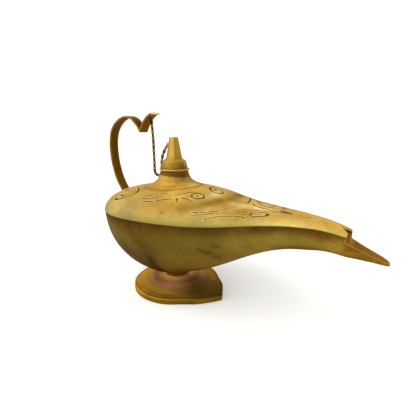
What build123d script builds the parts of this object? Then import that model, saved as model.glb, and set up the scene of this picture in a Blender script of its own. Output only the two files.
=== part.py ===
# Brass oil lamp with a long spout, a bent strap handle and a lift-off cap on a chain.
# Millimetres, +Z up, +X towards the spout. Origin: centre of the foot's flat underside,
# on the axis of the filler neck.
from build123d import *
import os
import math

os.makedirs("parts", exist_ok=True)

# ---------------------------------------------------------------- driving dimensions
# length of the body
X_BACK = -70.3            # rear end of the cover
X_MOUTH = 143.7           # where the covered spout ends and the open lip begins
X_TIP = 166.4             # rounded tip of the lip
X_LIP_ROUND = 158.0       # where the lip starts to round off
WALL = 1.5                # sheet thickness of bowl and cover
LIP_OVERHANG = 0.6        # how far the cover's edge stands out over the bowl

# height of the seam between bowl and cover, along the length
SEAM_X = [-80, -60, -45, -30, -10, 10, 30, 50, 70, 85, 100, 115, 125, 135, 143.7]
SEAM_Z = [71.65, 71.68, 71.86, 72.26, 72.97, 73.6, 74.15, 75.05, 76.74, 78.44, 80.13, 81.1, 80.95, 79.86, 78.0]

# half width in plan
W_MAX, X_W, N_W = 52.47, -5.2, 2.03
HALF_X = [-40.5, -5.2, 15, 30, 45, 60, 75, 90, 105, 120, 130, 137, 143.7, 151.7, 158]
HALF_W = [44.35, 52.47, 50.9, 48.1, 44.65, 39.9, 33.3, 26.3, 20.3, 15.2, 12.0, 9.9, 8.0, 5.95, 5.3]

# crown of the cover above the seam
H_MAX, X_H, N_H = 21.35, 0.4, 2.1
CROWN_X = [-24.3, 0.4, 15, 25, 35, 45, 55, 65, 78, 90, 102, 115, 130, 143.7]
CROWN_H = [20.2, 21.35, 20.95, 20.15, 18.7, 16.4, 13.8, 11.4, 9.15, 7.35, 5.75, 4.45, 3.65, 3.3]

# depth of the bowl below the seam
D_MAX, X_D, N_D = 58.4, 0.6, 2.1
DEPTH_X = [-28.8, 0.6, 15, 30, 45, 60, 75, 90, 105, 120, 132, 143.7]
DEPTH_D = [52.7, 58.4, 55.7, 50.5, 44.5, 37.6, 30.5, 24.6, 20.45, 17.95, 15.6, 14.1]

# open lip beyond the mouth
LIP_EDGE_Z0, LIP_EDGE_Z1 = 74.3, 65.8     # edge height at the mouth and at the tip
LIP_FLOOR_Z = [63.9, 64.15, 64.1]          # underside at the mouth, 151.7 and the tip
LIP_WALL = 1.2

# notch in the end of the cover
NOTCH_DEPTH = 6.0
NOTCH_HALF = 4.9

# foot
FOOT_T = 4.9
FOOT_R = 38.8
FOOT_CX = -0.7
FOOT_POINT = 51.3
BOSS_R, BOSS_Z = 7.0, 10.0
DOME_R = 29.5
COLLAR_R = 10.6
SCREW_R, SCREW_HOLE_R = 1.85, 1.95

# filler neck and cap
NECK_BASE_R = 23.6
NECK_TOP_Z = 102.9
LINER_RI, LINER_RO = 9.1, 10.2
COLLAR_TOP_Z = 105.3
FLANGE_Z0, FLANGE_Z1, FLANGE_R = 106.0, 107.6, 13.1
PLUG_R, PLUG_RI, PLUG_Z0 = 8.8, 7.6, 98.0
BODY_R0, BODY_R1, BODY_Z1 = 11.25, 10.05, 113.9
FINIAL_R0, FINIAL_R1, FINIAL_Z0, FINIAL_Z1 = 6.75, 3.65, 116.2, 133.3
STUD_R = 1.95

# handle
STRAP_W, STRAP_T = 9.7, 1.2
STRAP_BACK = [(-65.3, 75.0), (-67.6, 78.2), (-71.2, 82.6), (-77.4, 91.2), (-81.2, 100.2), (-83.7, 109.8),
              (-84.6, 118.6), (-84.3, 126.2), (-82.9, 132.8), (-80.0, 139.3), (-74.3, 145.0),
              (-66.2, 149.4), (-56.9, 151.2), (-49.4, 149.1), (-45.3, 146.0), (-41.7, 142.9)]
STRAP_CREASE = (-38.0, 138.2)
STRAP_FRONT = [(-34.6, 143.6), (-31.6, 147.0), (-28.4, 149.7), (-24.6, 151.8), (-20.8, 153.0)]
EYE_R, EYE_WIRE = 1.4, 0.45
RING_R, RING_WIRE = 1.5, 0.4

# chain
CHAIN_D = 2.0
CHAIN_ROUTE = [(-26.6, 143.85), (-25.3, 138.2), (-25.1, 99.8), (-15.7, 99.8), (-15.9, 112.0), (-13.4, 119.6), (-9.5, 124.45)]

# wick
WICK_D = 5.0
WICK_ROUTE = [(137.0, 70.3), (117.0, 70.2), (100.0, 66.6), (80.0, 58.0), (60.0, 46.6), (41.0, 35.8), (24.0, 28.4)]


# ---------------------------------------------------------------- shape of the body
def smooth(xs, ys, x):
    # monotone cubic through the points
    n = len(xs)
    h = [xs[i + 1] - xs[i] for i in range(n - 1)]
    s = [(ys[i + 1] - ys[i]) / h[i] for i in range(n - 1)]
    m = [s[0]] + [0.0] * (n - 2) + [s[-1]]
    for i in range(1, n - 1):
        if s[i - 1] * s[i] > 0:
            a, b = 2 * h[i] + h[i - 1], h[i] + 2 * h[i - 1]
            m[i] = (a + b) / (a / s[i - 1] + b / s[i])
    x = min(max(x, xs[0]), xs[-1])
    i = 0
    while i < n - 2 and x > xs[i + 1]:
        i += 1
    t = (x - xs[i]) / h[i]
    return ((1 + 2 * t) * (1 - t) ** 2 * ys[i] + t * (1 - t) ** 2 * h[i] * m[i]
            + t * t * (3 - 2 * t) * ys[i + 1] + t * t * (t - 1) * h[i] * m[i + 1])


def back(x, xc, xb, v, n):
    u = min(max((xc - x) / (xc - xb), 0.0), 1.0)
    return v * (1 - u ** n) ** (1 / n)


def seam_z(x):
    return smooth(SEAM_X, SEAM_Z, x)


def half_w(x, inset=0.0):
    if x < X_W:
        return back(x, X_W, X_BACK + inset, W_MAX - inset, N_W)
    if x > X_LIP_ROUND:
        u = (x - X_LIP_ROUND) / (X_TIP - X_LIP_ROUND)
        return max(HALF_W[-1] * (1 - u ** 2.3) ** (1 / 2.3), 0.0) - inset
    return smooth(HALF_X, HALF_W, x) - inset


def crown(x, inset=0.0):
    if x < X_H:
        return back(x, X_H, X_BACK + inset, H_MAX - inset, N_H)
    return smooth(CROWN_X, CROWN_H, x) - inset


def depth(x, inset=0.0, end=0.0):
    if x < X_D:
        return back(x, X_D, X_BACK + end, D_MAX - inset, N_D)
    return smooth(DEPTH_X, DEPTH_D, x) - inset


def blend(x, a, b):
    k = min(max((x - 20) / 70, 0.0), 1.0)
    return a + (b - a) * k


def stations(x0, x1, inset=0.0):
    # close together at the blunt rear end, where the outline turns fast
    xb = X_BACK + inset
    us = [0.99995, 0.999, 0.994, 0.98, 0.95, 0.9, 0.83, 0.74, 0.63, 0.5, 0.35, 0.18]
    xs = [1.0 - (1.0 - xb) * u for u in us] + [1.0, 15, 30, 45, 60, 75, 90, 105, 120, 132, 143.7]
    return [x for x in xs if x0 <= x <= x1]


def arch(w, z0, rise, k1, k2):
    # Two quarter curves from one edge over the middle to the other edge. They start a little past
    # the seam, and are widened so that they are w wide where the seam's cut passes.
    e = math.copysign(min(1.2, 0.3 * abs(rise)), rise)
    w = w / (1 - (e / (rise + e)) ** 2.1) ** (1 / 2.1)
    z0, rise = z0 - e, rise + e
    Bezier((-w, z0), (-w, z0 + k1 * rise), (-w * k2, z0 + rise), (0, z0 + rise))
    Bezier((0, z0 + rise), (w * k2, z0 + rise), (w, z0 + k1 * rise), (w, z0))
    return w, z0


# ---------------------------------------------------------------- bowl
KNIFE_XS = [-80, -70, -60, -50, -40, -30, -20, -10, 0, 10, 20, 30, 40, 50, 60, 70, 80, 90, 100, 110, 118, 126, 134, 143.7]
SEAM_GAP = 0.05
LIP_XS = [147.5, 151.7, 155, 158, 160.5, 162.5, 164, 165.2, 166.0, 166.35]


def lip_edge(x):
    return LIP_EDGE_Z0 + (LIP_EDGE_Z1 - LIP_EDGE_Z0) * (x - X_MOUTH) / (X_TIP - X_MOUTH)


def bowl_top(x):
    # the seam, carried on over the lip before the lip is cut open
    if x <= X_MOUTH:
        return seam_z(x)
    return lip_edge(x) + (seam_z(X_MOUTH) - LIP_EDGE_Z0) * (X_TIP - x) / (X_TIP - X_MOUTH)


def bowl_floor(x, wall=0.0, end=0.0):
    if x <= X_MOUTH:
        return seam_z(x) - depth(x, wall, end)
    return smooth([X_MOUTH, 151.7, X_TIP], LIP_FLOOR_Z, x) + wall


INSET = WALL + LIP_OVERHANG
with BuildPart() as bowl_outer:
    for x in stations(X_BACK, X_MOUTH, LIP_OVERHANG) + LIP_XS:
        w, zt = half_w(x, LIP_OVERHANG if x < 120 else 0.4), bowl_top(x)
        with BuildSketch(Plane.YZ.offset(x)):
            with BuildLine():
                w, zt = arch(w, zt, bowl_floor(x, 0, LIP_OVERHANG) - zt, blend(x, 0.62, 0.545), blend(x, 0.54, 0.555))
                Line((w, zt), (-w, zt))
            make_face()
    loft()


def inner_w(x):
    if x < X_LIP_ROUND:
        wall = smooth([120, X_MOUTH, 150], [INSET, WALL + 0.3, LIP_WALL + 0.3], x)
        return half_w(x, INSET if x <= 120 else wall)
    u = min((x - X_LIP_ROUND) / (X_TIP - 1.5 - X_LIP_ROUND), 1.0)
    return (half_w(X_LIP_ROUND) - LIP_WALL - 0.3) * max(1 - u ** 2.3, 0.006) ** (1 / 2.3)


with BuildPart() as bowl_inner:
    for x in stations(X_BACK, X_MOUTH, INSET) + [147.5, 151.7, 155, 158, 160.5, 162.5, 163.9, 164.85]:
        w, zt = inner_w(x), bowl_top(x)
        floor = bowl_floor(x, WALL if x <= X_MOUTH else smooth([X_MOUTH, 150, 158, X_TIP], [WALL, LIP_WALL, 1.0, 0.8], x), INSET)
        floor = min(floor, lip_edge(x) - 0.2) if x > X_MOUTH else floor
        with BuildSketch(Plane.YZ.offset(x)):
            with BuildLine():
                w, zt = arch(w, zt, floor - zt, blend(x, 0.62, 0.545), blend(x, 0.54, 0.555))
                Polyline((w, zt), (w, zt + 3), (-w, zt + 3), (-w, zt))
            make_face()
    loft()

with BuildPart() as bowl:
    add(bowl_outer.part)
    add(bowl_inner.part, mode=Mode.SUBTRACT)
    # trimmed along the seam, and open above the lip's sloping edge
    with BuildSketch(Plane.XZ):
        with BuildLine():
            Spline(*[(x, seam_z(x)) for x in KNIFE_XS])
            Polyline((X_MOUTH, seam_z(X_MOUTH)), (X_MOUTH, LIP_EDGE_Z0), (X_TIP + 3, lip_edge(X_TIP + 3)), (X_TIP + 3, 100),
                     (KNIFE_XS[0], 100), (KNIFE_XS[0], seam_z(KNIFE_XS[0])))
        make_face()
    extrude(amount=60, both=True, mode=Mode.SUBTRACT)
    # thickened pad where the foot's screw passes
    with BuildSketch(Plane.XY.offset(16.2)):
        Circle(8.0)
    extrude(amount=1.4)
    with BuildSketch(Plane.XY.offset(10)):
        Circle(SCREW_HOLE_R)
    extrude(amount=10, mode=Mode.SUBTRACT)
bowl.part.label = "bowl"

# ---------------------------------------------------------------- handle strap
def offset_path(pts, d):
    out = []
    for i, (x, z) in enumerate(pts):
        a, b = pts[max(i - 1, 0)], pts[min(i + 1, len(pts) - 1)]
        t = math.hypot(b[0] - a[0], b[1] - a[1])
        out.append((x - d * (b[1] - a[1]) / t, z + d * (b[0] - a[0]) / t))
    return out


def crease_point(side):
    a, c, b = STRAP_BACK[-1], STRAP_CREASE, STRAP_FRONT[0]
    u = ((a[0] - c[0]) / math.dist(a, c), (a[1] - c[1]) / math.dist(a, c))
    v = ((b[0] - c[0]) / math.dist(b, c), (b[1] - c[1]) / math.dist(b, c))
    m = (u[0] + v[0], u[1] + v[1])
    n = math.hypot(*m)
    half = math.acos(u[0] * v[0] + u[1] * v[1]) / 2
    k = side * STRAP_T / 2 / math.sin(half) / n
    return (c[0] + k * m[0], c[1] + k * m[1])


T2 = STRAP_T / 2
upper = crease_point(1)
lower = crease_point(-1)
back_out = offset_path(STRAP_BACK + [STRAP_CREASE], T2)[:-1] + [upper]
back_in = offset_path(STRAP_BACK + [STRAP_CREASE], -T2)[:-1] + [lower]
front_up = [upper] + offset_path([STRAP_CREASE] + STRAP_FRONT, T2)[1:]
front_low = [lower] + offset_path([STRAP_CREASE] + STRAP_FRONT, -T2)[1:]

EYE_AT = (-28.35, 149.7)
EYE_DIR = (0.56, -0.83)
eye_c = (EYE_AT[0] + EYE_DIR[0] * (T2 + EYE_R + EYE_WIRE + 0.35), EYE_AT[1] + EYE_DIR[1] * (T2 + EYE_R + EYE_WIRE + 0.35))
eye_plane = Plane(origin=(EYE_AT[0], 0, EYE_AT[1]), x_dir=(0, 1, 0), z_dir=(EYE_DIR[0], 0, EYE_DIR[1]))

with BuildPart() as handle_strap:
    with BuildSketch(Plane.XZ):
        with BuildLine():
            Spline(*back_out)
            Spline(*front_up)
            Line(front_up[-1], front_low[-1])
            Spline(*front_low)
            Spline(*back_in)
            Line(back_in[0], back_out[0])
        make_face()
    extrude(amount=STRAP_W / 2, both=True)
    with BuildSketch(eye_plane.offset(-3)):
        Circle(0.75)
    extrude(amount=6, mode=Mode.SUBTRACT)
handle_strap.part.label = "handle_strap"

# ---------------------------------------------------------------- cover
cover_xs = stations(X_BACK, X_MOUTH, 0.0)
with BuildPart() as cover_outer:
    for x in cover_xs:
        w, zs = half_w(x), seam_z(x)
        with BuildSketch(Plane.YZ.offset(x)):
            with BuildLine():
                w, zs = arch(w, zs, crown(x), blend(x, 0.47, 0.6), blend(x, 0.69, 0.57))
                Line((w, zs), (-w, zs))
            make_face()
    loft()

with BuildPart() as cover_inner:
    for x in stations(X_BACK, X_MOUTH, WALL + LIP_OVERHANG):
        w, zs = half_w(x, WALL + LIP_OVERHANG), seam_z(x)
        with BuildSketch(Plane.YZ.offset(x)):
            with BuildLine():
                w, zs = arch(w, zs, crown(x, WALL), blend(x, 0.47, 0.6), blend(x, 0.69, 0.57))
                Polyline((w, zs), (w, zs - 3), (-w, zs - 3), (-w, zs))
            make_face()
    loft()

with BuildPart() as cover:
    add(cover_outer.part)
    add(cover_inner.part, mode=Mode.SUBTRACT)
    with BuildSketch(Plane.XZ):
        with BuildLine():
            Spline(*[(x, seam_z(x) + SEAM_GAP) for x in KNIFE_XS])
            Polyline((X_MOUTH, seam_z(X_MOUTH) + SEAM_GAP), (X_MOUTH + 5, 78), (X_MOUTH + 5, 50), (KNIFE_XS[0], 50),
                     (KNIFE_XS[0], seam_z(KNIFE_XS[0]) + SEAM_GAP))
        make_face()
    extrude(amount=60, both=True, mode=Mode.SUBTRACT)
    with BuildSketch(Plane.XY.offset(80)):
        Circle(LINER_RO + 0.05)
    extrude(amount=20, mode=Mode.SUBTRACT)
    with BuildSketch(Plane.XY.offset(70)):
        with BuildLine():
            Polyline((X_MOUTH - NOTCH_DEPTH, 0), (X_MOUTH + 1, NOTCH_HALF * (NOTCH_DEPTH + 1) / NOTCH_DEPTH),
                     (X_MOUTH + 1, -NOTCH_HALF * (NOTCH_DEPTH + 1) / NOTCH_DEPTH), close=True)
        make_face()
    extrude(amount=20, mode=Mode.SUBTRACT)
    add(handle_strap.part, mode=Mode.SUBTRACT)
cover.part.label = "cover"

# ---------------------------------------------------------------- foot
a0 = math.radians(47)
tx, ty = FOOT_CX + FOOT_R * math.cos(a0), FOOT_R * math.sin(a0)
with BuildPart() as foot_plate:
    with BuildSketch():
        with BuildLine():
            ThreePointArc((tx, ty), (FOOT_CX - FOOT_R, 0), (tx, -ty))
            Spline((tx, -ty), (42.0, -14.2), (FOOT_POINT, 0), tangents=[(math.sin(a0), math.cos(a0)), (0.5, 0.87)])
            Spline((FOOT_POINT, 0), (42.0, 14.2), (tx, ty), tangents=[(-0.5, 0.87), (-math.sin(a0), math.cos(a0))])
        make_face()
    extrude(amount=FOOT_T)
    chamfer(foot_plate.faces().sort_by(Axis.Z)[-1].edges(), 0.35)
    with BuildSketch(Plane.XY.offset(FOOT_T)):
        Circle(BOSS_R)
    extrude(amount=BOSS_Z - FOOT_T)
    with BuildSketch(Plane.XY.offset(BOSS_Z)):
        Circle(SCREW_R + 0.05)
    extrude(amount=-8.0, mode=Mode.SUBTRACT)
foot_plate.part.label = "foot_plate"

with BuildPart() as foot_dome:
    with BuildSketch(Plane.XZ):
        with BuildLine():
            outer = [(10.8, 11.4), (14.5, 10.7), (19.0, 10.15), (23.2, 9.4), (26.6, 7.95), (29.2, 6.15), (DOME_R + 1.2, FOOT_T + 0.02)]
            inner = [(DOME_R - 1.1, FOOT_T + 0.02), (27.2, 6.0), (25.2, 7.2), (22.4, 8.1), (19.0, 8.7), (14.5, 9.2), (10.8, 10.0)]
            Spline(*outer)
            Line(outer[-1], inner[0])
            Spline(*inner)
            Polyline(inner[-1], (SCREW_HOLE_R, BOSS_Z + 0.02), (SCREW_HOLE_R, 11.4), outer[0])
        make_face()
    revolve(axis=Axis.Z)
foot_dome.part.label = "foot_dome"

with BuildPart() as stem_collar:
    with BuildSketch(Plane.XZ):
        with BuildLine():
            Polyline((SCREW_HOLE_R, 11.42), (COLLAR_R + 0.3, 11.42))
            Spline((COLLAR_R + 0.3, 11.42), (COLLAR_R + 0.1, 12.2), (COLLAR_R - 0.5, 13.4), (COLLAR_R - 0.3, 15.0), (COLLAR_R + 0.6, 16.8))
            Polyline((COLLAR_R + 0.6, 16.8), (COLLAR_R + 0.6, 19), (SCREW_HOLE_R, 19), (SCREW_HOLE_R, 11.42))
        make_face()
    revolve(axis=Axis.Z)
    add(bowl_outer.part, mode=Mode.SUBTRACT)
stem_collar.part.label = "stem_collar"

with BuildPart() as foot_washer:
    with BuildSketch(Plane.XY.offset(17.65)):
        Circle(7.0)
        Circle(SCREW_HOLE_R, mode=Mode.SUBTRACT)
    extrude(amount=1.0)
foot_washer.part.label = "foot_washer"

with BuildPart() as foot_screw:
    with BuildSketch(Plane.XY.offset(3.0)):
        Circle(SCREW_R)
    extrude(amount=15.7)
    with BuildSketch(Plane.XY.offset(18.7)):
        Circle(4.8)
    extrude(amount=2.8)
    fillet(foot_screw.faces().sort_by(Axis.Z)[-1].edges(), 1.2)
    with BuildSketch(Plane.XY.offset(20.3)):
        Rectangle(12, 1.2)
    extrude(amount=2.0, mode=Mode.SUBTRACT)
foot_screw.part.label = "foot_screw"

# ---------------------------------------------------------------- filler neck
with BuildPart() as neck:
    with BuildSketch(Plane.XZ):
        with BuildLine():
            out = [(NECK_BASE_R, 93.6), (22.4, 94.1), (18.5, 95.6), (15.3, 97.9), (13.2, 100.6), (12.4, NECK_TOP_Z)]
            Spline(*out)
            Polyline(out[-1], (LINER_RO + 0.03, NECK_TOP_Z), (LINER_RO + 0.03, 96.0), (14.0, 91.0), (NECK_BASE_R, 91.0), out[0])
        make_face()
    revolve(axis=Axis.Z)
    # hollow between flare and liner
    with BuildSketch(Plane.XZ):
        with BuildLine():
            pts = [(20.6, 93.6), (17.4, 94.9), (14.3, 97.2), (12.3, 99.6)]
            Spline(*pts)
            Polyline(pts[-1], (LINER_RO - 0.5, 99.9), (LINER_RO - 0.5, 90.0), (20.6, 90.0), pts[0])
        make_face()
    revolve(axis=Axis.Z, mode=Mode.SUBTRACT)
    add(cover_outer.part, mode=Mode.SUBTRACT)
neck.part.label = "neck"

with BuildPart() as neck_liner:
    with BuildSketch(Plane.XY.offset(87.0)):
        Circle(LINER_RO)
        Circle(LINER_RI, mode=Mode.SUBTRACT)
    extrude(amount=COLLAR_TOP_Z - 87.0)
    chamfer(neck_liner.edges().group_by(Axis.Z)[-1].sort_by(SortBy.RADIUS)[0], 0.4)
neck_liner.part.label = "neck_liner"

with BuildPart() as neck_collar:
    with BuildSketch(Plane.XZ):
        with BuildLine():
            Polyline((LINER_RO + 0.03, NECK_TOP_Z + 0.02), (12.2, NECK_TOP_Z + 0.02))
            Spline((12.2, NECK_TOP_Z + 0.02), (11.85, 103.9), (11.8, COLLAR_TOP_Z))
            Polyline((11.8, COLLAR_TOP_Z), (LINER_RO + 0.03, COLLAR_TOP_Z), (LINER_RO + 0.03, NECK_TOP_Z + 0.02))
        make_face()
    revolve(axis=Axis.Z)
neck_collar.part.label = "neck_collar"

# ---------------------------------------------------------------- cap
with BuildPart() as cap_flange:
    with BuildSketch(Plane.XZ):
        with BuildLine():
            Polyline((STUD_R + 0.1, FLANGE_Z0), (12.1, FLANGE_Z0), (12.8, 106.3), (FLANGE_R, 106.75), (12.7, 107.2), (11.8, FLANGE_Z1), (STUD_R + 0.1, FLANGE_Z1), close=True)
        make_face()
    revolve(axis=Axis.Z)
cap_flange.part.label = "cap_flange"

with BuildPart() as cap_plug:
    with BuildSketch(Plane.XZ):
        with BuildLine():
            Polyline((STUD_R + 0.1, 105.95), (PLUG_R, 105.95), (PLUG_R, PLUG_Z0 + 0.6), (PLUG_R - 0.5, PLUG_Z0),
                     (PLUG_RI, PLUG_Z0), (PLUG_RI, 104.8), (STUD_R + 0.1, 104.8), close=True)
        make_face()
    revolve(axis=Axis.Z)
cap_plug.part.label = "cap_plug"

with BuildPart() as cap_gasket:
    with BuildSketch(Plane.XY.offset(COLLAR_TOP_Z + 0.05)):
        Circle(11.6)
        Circle(PLUG_R + 0.05, mode=Mode.SUBTRACT)
    extrude(amount=0.6)
cap_gasket.part.label = "cap_gasket"

with BuildPart() as cap_body:
    with BuildSketch(Plane.XZ):
        with BuildLine():
            Polyline((BODY_R0, FLANGE_Z1 + 0.02), (11.2, 108.3), (BODY_R1, BODY_Z1 - 0.2), (BODY_R1 - 0.25, BODY_Z1 + 0.1), (7.2, FINIAL_Z0 - 0.6),
                     (6.9, FINIAL_Z0 - 0.02), (STUD_R + 0.1, FINIAL_Z0 - 0.02), (STUD_R + 0.1, FINIAL_Z0 - 1.6), (6.4, FINIAL_Z0 - 1.9),
                     (BODY_R1 - 1.4, BODY_Z1 - 0.9), (BODY_R0 - 1.25, FLANGE_Z1 + 0.02), close=True)
        make_face()
    revolve(axis=Axis.Z)
cap_body.part.label = "cap_body"

CAP_EYE_Z = 127.0
with BuildPart() as cap_finial:
    with BuildSketch(Plane.XY.offset(FINIAL_Z0)):
        RegularPolygon(FINIAL_R0, 8)
    with BuildSketch(Plane.XY.offset(FINIAL_Z1)):
        RegularPolygon(FINIAL_R1, 8)
    loft()
    with BuildSketch(Plane.XY.offset(FINIAL_Z0)):
        Circle(2.0)
    extrude(amount=8.5, mode=Mode.SUBTRACT)
    with BuildSketch(Plane.YZ.offset(-7)):
        with Locations((0, CAP_EYE_Z)):
            Circle(0.75)
    extrude(amount=4.6, mode=Mode.SUBTRACT)
cap_finial.part.label = "cap_finial"

with BuildPart() as cap_stud:
    with BuildSketch(Plane.XY.offset(101.0)):
        Circle(STUD_R)
    extrude(amount=123.0 - 101.0)
    chamfer(cap_stud.edges().group_by(Axis.Z)[0], 0.4)
cap_stud.part.label = "cap_stud"

with BuildPart() as cap_nut:
    with BuildSketch(Plane.XY.offset(101.8)):
        RegularPolygon(3.6, 6)
        Circle(STUD_R + 0.03, mode=Mode.SUBTRACT)
    extrude(amount=2.95)
cap_nut.part.label = "cap_nut"

# ---------------------------------------------------------------- eyes and rings of the chain
def ring_points(c, d, r):
    return (c[0] + d[0] * r, c[1] + d[1] * r)


with BuildPart() as handle_eye:
    with BuildSketch(Plane(origin=(eye_c[0] + EYE_R, 0, eye_c[1]), x_dir=(1, 0, 0), z_dir=(0, 0, 1))):
        Circle(EYE_WIRE)
    revolve(axis=Axis((eye_c[0], 0, eye_c[1]), (0, 1, 0)))
    with BuildSketch(eye_plane.offset(T2 + 0.4)):
        Circle(0.7)
    extrude(amount=-(STRAP_T + 0.5))
    with BuildSketch(eye_plane.offset(T2 + 0.06)):
        Circle(1.25)
    extrude(amount=0.5)
    with BuildSketch(eye_plane.offset(-T2 - 0.08)):
        Circle(1.5)
    extrude(amount=-0.6)
handle_eye.part.label = "handle_eye"

cap_eye_c = (-(4.78 + 0.35 + EYE_R + EYE_WIRE), CAP_EYE_Z)
cap_eye_plane = Plane(origin=(-4.79, 0, CAP_EYE_Z), x_dir=(0, 1, 0), z_dir=(-1, 0, 0))
with BuildPart() as cap_eye:
    with BuildSketch(Plane(origin=(cap_eye_c[0] + EYE_R, 0, cap_eye_c[1]), x_dir=(1, 0, 0), z_dir=(0, 0, 1))):
        Circle(EYE_WIRE)
    revolve(axis=Axis((cap_eye_c[0], 0, cap_eye_c[1]), (0, 1, 0)))
    with BuildSketch(cap_eye_plane.offset(0.5)):
        Circle(0.7)
    extrude(amount=-2.6)
    with BuildSketch(cap_eye_plane.offset(0.12)):
        Circle(1.2)
    extrude(amount=0.5)
cap_eye.part.label = "cap_eye"

up_c = (eye_c[0] + 0.1, eye_c[1] - 1.55)
with BuildPart() as chain_ring_upper:
    with BuildSketch(Plane(origin=(up_c[0], RING_R, up_c[1]), x_dir=(0, 1, 0), z_dir=(0, 0, 1))):
        Circle(RING_WIRE)
    revolve(axis=Axis((up_c[0], 0, up_c[1]), (1, 0, 0)))
chain_ring_upper.part.label = "chain_ring_upper"

low_d = (-0.70, -0.71)
low_c = (cap_eye_c[0] + low_d[0] * 1.55, cap_eye_c[1] + low_d[1] * 1.55)
with BuildPart() as chain_ring_lower:
    with BuildSketch(Plane(origin=(low_c[0], RING_R, low_c[1]), x_dir=(0, 1, 0), z_dir=(low_d[0], 0, low_d[1]))):
        Circle(RING_WIRE)
    revolve(axis=Axis((low_c[0], 0, low_c[1]), (low_d[1], 0, -low_d[0])))
chain_ring_lower.part.label = "chain_ring_lower"

print("upper eye", [round(v, 2) for v in eye_c], "upper ring", [round(v, 2) for v in up_c], "chain start should be near", round(up_c[0], 2), round(up_c[1] - RING_R - RING_WIRE, 2))
print("lower eye", [round(v, 2) for v in cap_eye_c], "lower ring", [round(v, 2) for v in low_c], "chain end should be near",
      [round(v, 2) for v in ring_points(low_c, low_d, RING_R + RING_WIRE)])


# ---------------------------------------------------------------- chain and wick
def route_radii(pts, name):
    radii = []
    for a, b, c in zip(pts, pts[1:], pts[2:]):
        u = Vector(b[0] - a[0], b[1] - a[1])
        v = Vector(c[0] - b[0], c[1] - b[1])
        turn = math.radians(u.get_angle(v))
        radii.append(0.45 * min(u.length, v.length) / math.tan(turn / 2))
    print(name, "radii", [round(r, 1) for r in radii])
    return radii


chain_radii = route_radii(CHAIN_ROUTE, "chain")
with BuildPart() as chain:
    with BuildLine(Plane.XZ) as chain_path:
        FilletPolyline(*CHAIN_ROUTE, radius=chain_radii)
    with BuildSketch(Plane(origin=chain_path.line @ 0, z_dir=chain_path.line % 0)):
        Circle(CHAIN_D / 2)
    sweep(path=chain_path.line)
chain.part.label = "chain"
chain_len = chain_path.wires()[0].length
print("chain length", round(chain_len, 2), "volume", round(chain.part.volume, 2), "section times length", round(math.pi * CHAIN_D ** 2 / 4 * chain_len, 2))

wick_radii = route_radii(WICK_ROUTE, "wick")
with BuildPart() as wick:
    with BuildLine(Plane.XZ) as wick_path:
        FilletPolyline(*WICK_ROUTE, radius=wick_radii)
    with BuildSketch(Plane(origin=wick_path.line @ 0, z_dir=wick_path.line % 0)):
        Circle(WICK_D / 2)
    sweep(path=wick_path.line)
wick.part.label = "wick"
print("wick length", round(wick_path.wires()[0].length, 2), "volume", round(wick.part.volume, 1), "section times length", round(math.pi * WICK_D ** 2 / 4 * wick_path.wires()[0].length, 1))

with BuildPart() as wick_tube:
    with BuildSketch(Plane.YZ.offset(126.5)):
        with Locations((0, 70.27)):
            Circle(3.3)
            Circle(2.6, mode=Mode.SUBTRACT)
    extrude(amount=9.0)
wick_tube.part.label = "wick_tube"

# ---------------------------------------------------------------- write the pieces
pieces = [foot_plate, foot_dome, stem_collar, foot_washer, foot_screw, bowl, cover, neck, neck_liner, neck_collar,
          cap_flange, cap_plug, cap_gasket, cap_body, cap_finial, cap_stud, cap_nut, cap_eye,
          handle_strap, handle_eye, chain_ring_upper, chain_ring_lower, chain, wick, wick_tube]
for p in pieces:
    export_step(p.part, "parts/" + p.part.label + ".step")
    print(p.part.label, len(p.part.solids()), round(p.part.volume, 1), p.part.is_valid)
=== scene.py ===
import math

import bmesh
import bpy
import numpy as np
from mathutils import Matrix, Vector


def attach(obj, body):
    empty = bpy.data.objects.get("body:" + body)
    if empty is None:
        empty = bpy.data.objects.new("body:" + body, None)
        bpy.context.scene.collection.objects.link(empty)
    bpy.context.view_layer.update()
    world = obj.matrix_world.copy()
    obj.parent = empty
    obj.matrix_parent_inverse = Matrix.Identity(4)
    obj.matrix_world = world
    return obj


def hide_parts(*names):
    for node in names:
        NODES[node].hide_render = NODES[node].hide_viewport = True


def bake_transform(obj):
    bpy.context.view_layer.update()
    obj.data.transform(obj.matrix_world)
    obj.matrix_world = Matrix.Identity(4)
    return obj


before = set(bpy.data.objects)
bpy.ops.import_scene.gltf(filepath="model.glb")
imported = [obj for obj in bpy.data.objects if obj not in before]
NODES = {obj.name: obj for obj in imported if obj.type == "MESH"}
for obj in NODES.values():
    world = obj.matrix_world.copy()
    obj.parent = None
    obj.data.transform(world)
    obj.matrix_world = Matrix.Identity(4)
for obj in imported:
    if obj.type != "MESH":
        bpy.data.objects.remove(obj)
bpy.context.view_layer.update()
MM = 0.001


# ------------------------------------------------------------------ camera
AZ, EL = math.radians(38.02), math.radians(14.466)
cam_data = bpy.data.cameras.new("photo_camera")
cam_data.sensor_width = 36.0
cam_data.lens = 18.0 / math.tan(math.radians(35.0))
cam_data.clip_start, cam_data.clip_end = 0.01, 60.0
cam = bpy.data.objects.new("photo_camera", cam_data)
bpy.context.scene.collection.objects.link(cam)
cam.location = (0.18237, -0.18398, 0.13685)
cam.rotation_euler = (math.pi / 2 - EL, 0.0, AZ)
bpy.context.scene.camera = cam
RIGHT = Vector((math.cos(AZ), math.sin(AZ), 0.0))
AWAY = Vector((-math.sin(AZ), math.cos(AZ), 0.0))


# ------------------------------------------------------------------ small helpers
def lin(r, g, b, k=1.0):
    out = []
    for v in (r, g, b):
        v /= 255.0
        out.append(k * (v / 12.92 if v <= 0.04045 else ((v + 0.055) / 1.055) ** 2.4))
    return (*out, 1.0)


def smoothstep(v):
    v = np.clip(v, 0.0, 1.0)
    return v * v * (3 - 2 * v)


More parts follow.
